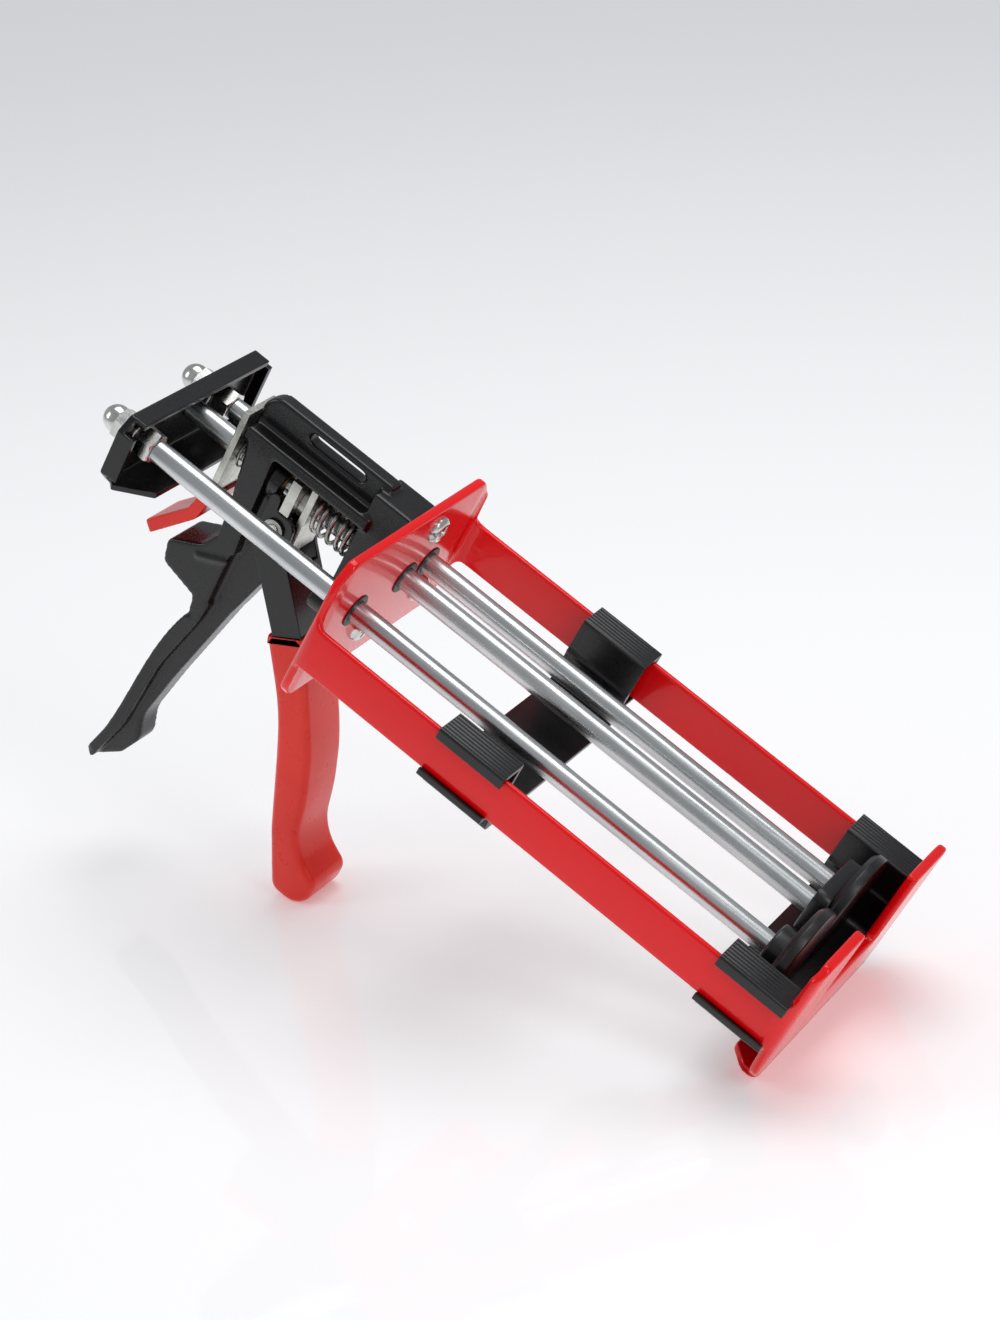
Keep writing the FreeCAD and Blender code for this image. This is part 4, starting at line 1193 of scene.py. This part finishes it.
    def build_plungers(self) -> None:
        """Build the right plunger on its round hub and the left one on a bar that holds two rods."""
        rear, front, (left_rod, right_rod) = self.hub_rear, self.hub_front, self.push_sides
        hub = soft_profile([(rear, 0, 0), (rear, self.hub, 1.6), (front, self.hub, 0), (front, 0, 0)])
        right = merged([self.plunger(-self.disc_side), turned(hub, (right_rod, 0), 96)])
        build_piece("plunger_right_moulded", right, Body.RODS, Slot.NYLON, ("plunger_right",), 50)
        bar = rounded([(2, -12, 5), (left_rod + 10, -12, 5), (left_rod + 10, 12, 5), (2, 12, 5)])
        left = merged([self.plunger(self.disc_side), prism(bar, rear, front, 1.2, along_gun)])
        build_piece("plunger_left_moulded", left, Body.RODS, Slot.NYLON, ("plunger_left",), 50)


# ---------------------------------------------------------------- studio

@dataclass
class Studio:
    """Plain pale floor, soft lights and the camera.

    Args:
        lens: focal length in millimetres.
        eye: the camera's place, in the gun's millimetres.
        right: direction of the picture's right side, in the gun's axes.
        upward: direction of the picture's top, in the gun's axes.
        floor_half: half the floor's width, in metres.
        aim: the point that the lights look at, in metres.
        softboxes: name, place in metres, width and height in metres, and power in watts.
    """

    lens: float = 85.07
    eye: tuple[float, float, float] = (319.5, -993.9, 773.2)
    right: tuple[float, float, float] = (0.7636, 0.5090, 0.3971)
    upward: tuple[float, float, float] = (-0.6122, 0.3755, 0.6957)
    floor_half: float = 4.0
    aim: tuple[float, float, float] = (0.0, 0.0, 0.1)
    softboxes: tuple = (("overhead", (0.1, 0.35, 1.5), (1.2, 0.9), 10),
                        ("left_fill", (-1.2, -0.8, 0.9), (0.6, 0.9), 3.5),
                        ("front_strip", (1.1, -0.5, 0.9), (0.3, 0.9), 3.5))

    def floor(self) -> None:
        """Wide floor: a slightly glossy white sheet."""
        across = np.linspace(-self.floor_half, self.floor_half, 3)
        x, y = np.meshgrid(across, across, indexing="ij")
        points = np.column_stack([x.ravel(), y.ravel(), np.zeros(x.size)])
        mesh = bpy.data.meshes.new("studio_floor")
        mesh.from_pydata(points, [], grid_faces(3, 3)[::-1])
        item = link_mesh("studio_floor", mesh, 30)
        material = bpy.data.materials.new("gloss_white_laminate")
        material.use_nodes = True
        shader = material.node_tree.nodes["Principled BSDF"]
        values = {"Base Color": linear("#F7F7F8"), "Roughness": 0.04, "Specular IOR Level": 0.5,
                  "Emission Color": linear("#FFFFFF"), "Emission Strength": 0.22}
        for name, value in values.items():
            shader.inputs[name].default_value = value
        item.data.materials.append(material)

    def light(self, name: str, place: tuple[float, float, float], size: tuple[float, float],
              power: float) -> None:
        """Rectangular softbox aimed at the gun.

        Args:
            name: the light's name.
            place: where it hangs, in metres.
            size: its width and height in metres.
            power: its power in watts.
        """
        data = bpy.data.lights.new(name, "AREA")
        data.shape = "RECTANGLE"
        data.size, data.size_y = size
        data.energy = power
        item = bpy.data.objects.new(name, data)
        item.location = place
        item.rotation_euler = (Vector(self.aim) - Vector(place)).to_track_quat("-Z", "Y").to_euler()
        bpy.context.scene.collection.objects.link(item)

    def camera(self) -> None:
        """Camera at the gun's right, front and above."""
        data = bpy.data.cameras.new("camera")
        data.lens = self.lens
        item = bpy.data.objects.new("camera", data)
        right, upward = GUN.turn @ np.array(self.right), GUN.turn @ np.array(self.upward)
        back = np.cross(right, upward)
        axes = np.eye(4)
        axes[:3, 0], axes[:3, 1], axes[:3, 2] = right, upward, back / np.linalg.norm(back)
        axes[:3, 3] = GUN.place(np.array(self.eye))
        item.matrix_world = Matrix(axes.tolist())
        bpy.context.scene.collection.objects.link(item)
        bpy.context.scene.camera = item

    def air(self) -> None:
        """World: plain white to the camera, and a dimmer cool white as light."""
        world = bpy.data.worlds.new("studio_air")
        world.use_nodes = True
        tree = world.node_tree
        tree.nodes.clear()
        white = add_node(tree, "ShaderNodeBackground", inputs={"Color": linear("#FFFFFF"), "Strength": 1.0})
        room = add_node(tree, "ShaderNodeBackground", inputs={"Color": linear("#F2F5FA"), "Strength": 0.42})
        seen = add_node(tree, "ShaderNodeLightPath").outputs["Is Camera Ray"]
        both = add_node(tree, "ShaderNodeMixShader",
                        inputs={0: seen, 1: room.outputs[0], 2: white.outputs[0]})
        add_node(tree, "ShaderNodeOutputWorld", inputs={"Surface": both.outputs[0]})
        bpy.context.scene.world = world

    def build(self) -> None:
        """Set the floor, camera, world and lights."""
        self.floor()
        self.camera()
        self.air()
        for name, place, size, power in self.softboxes:
            self.light(name, place, size, power)
        bpy.context.scene.view_settings.view_transform = "Standard"


def main() -> None:
    """Build every sub-assembly, then the studio."""
    logging.basicConfig(level=logging.INFO, format="%(message)s")
    for part in (Carriage(), PanScrews(), Grommets(), Saddles(), GripEnd(), PushingAssembly(), Studio()):
        LOG.info("building %s", type(part).__name__)
        part.build()


if __name__ == "__main__":
    main()
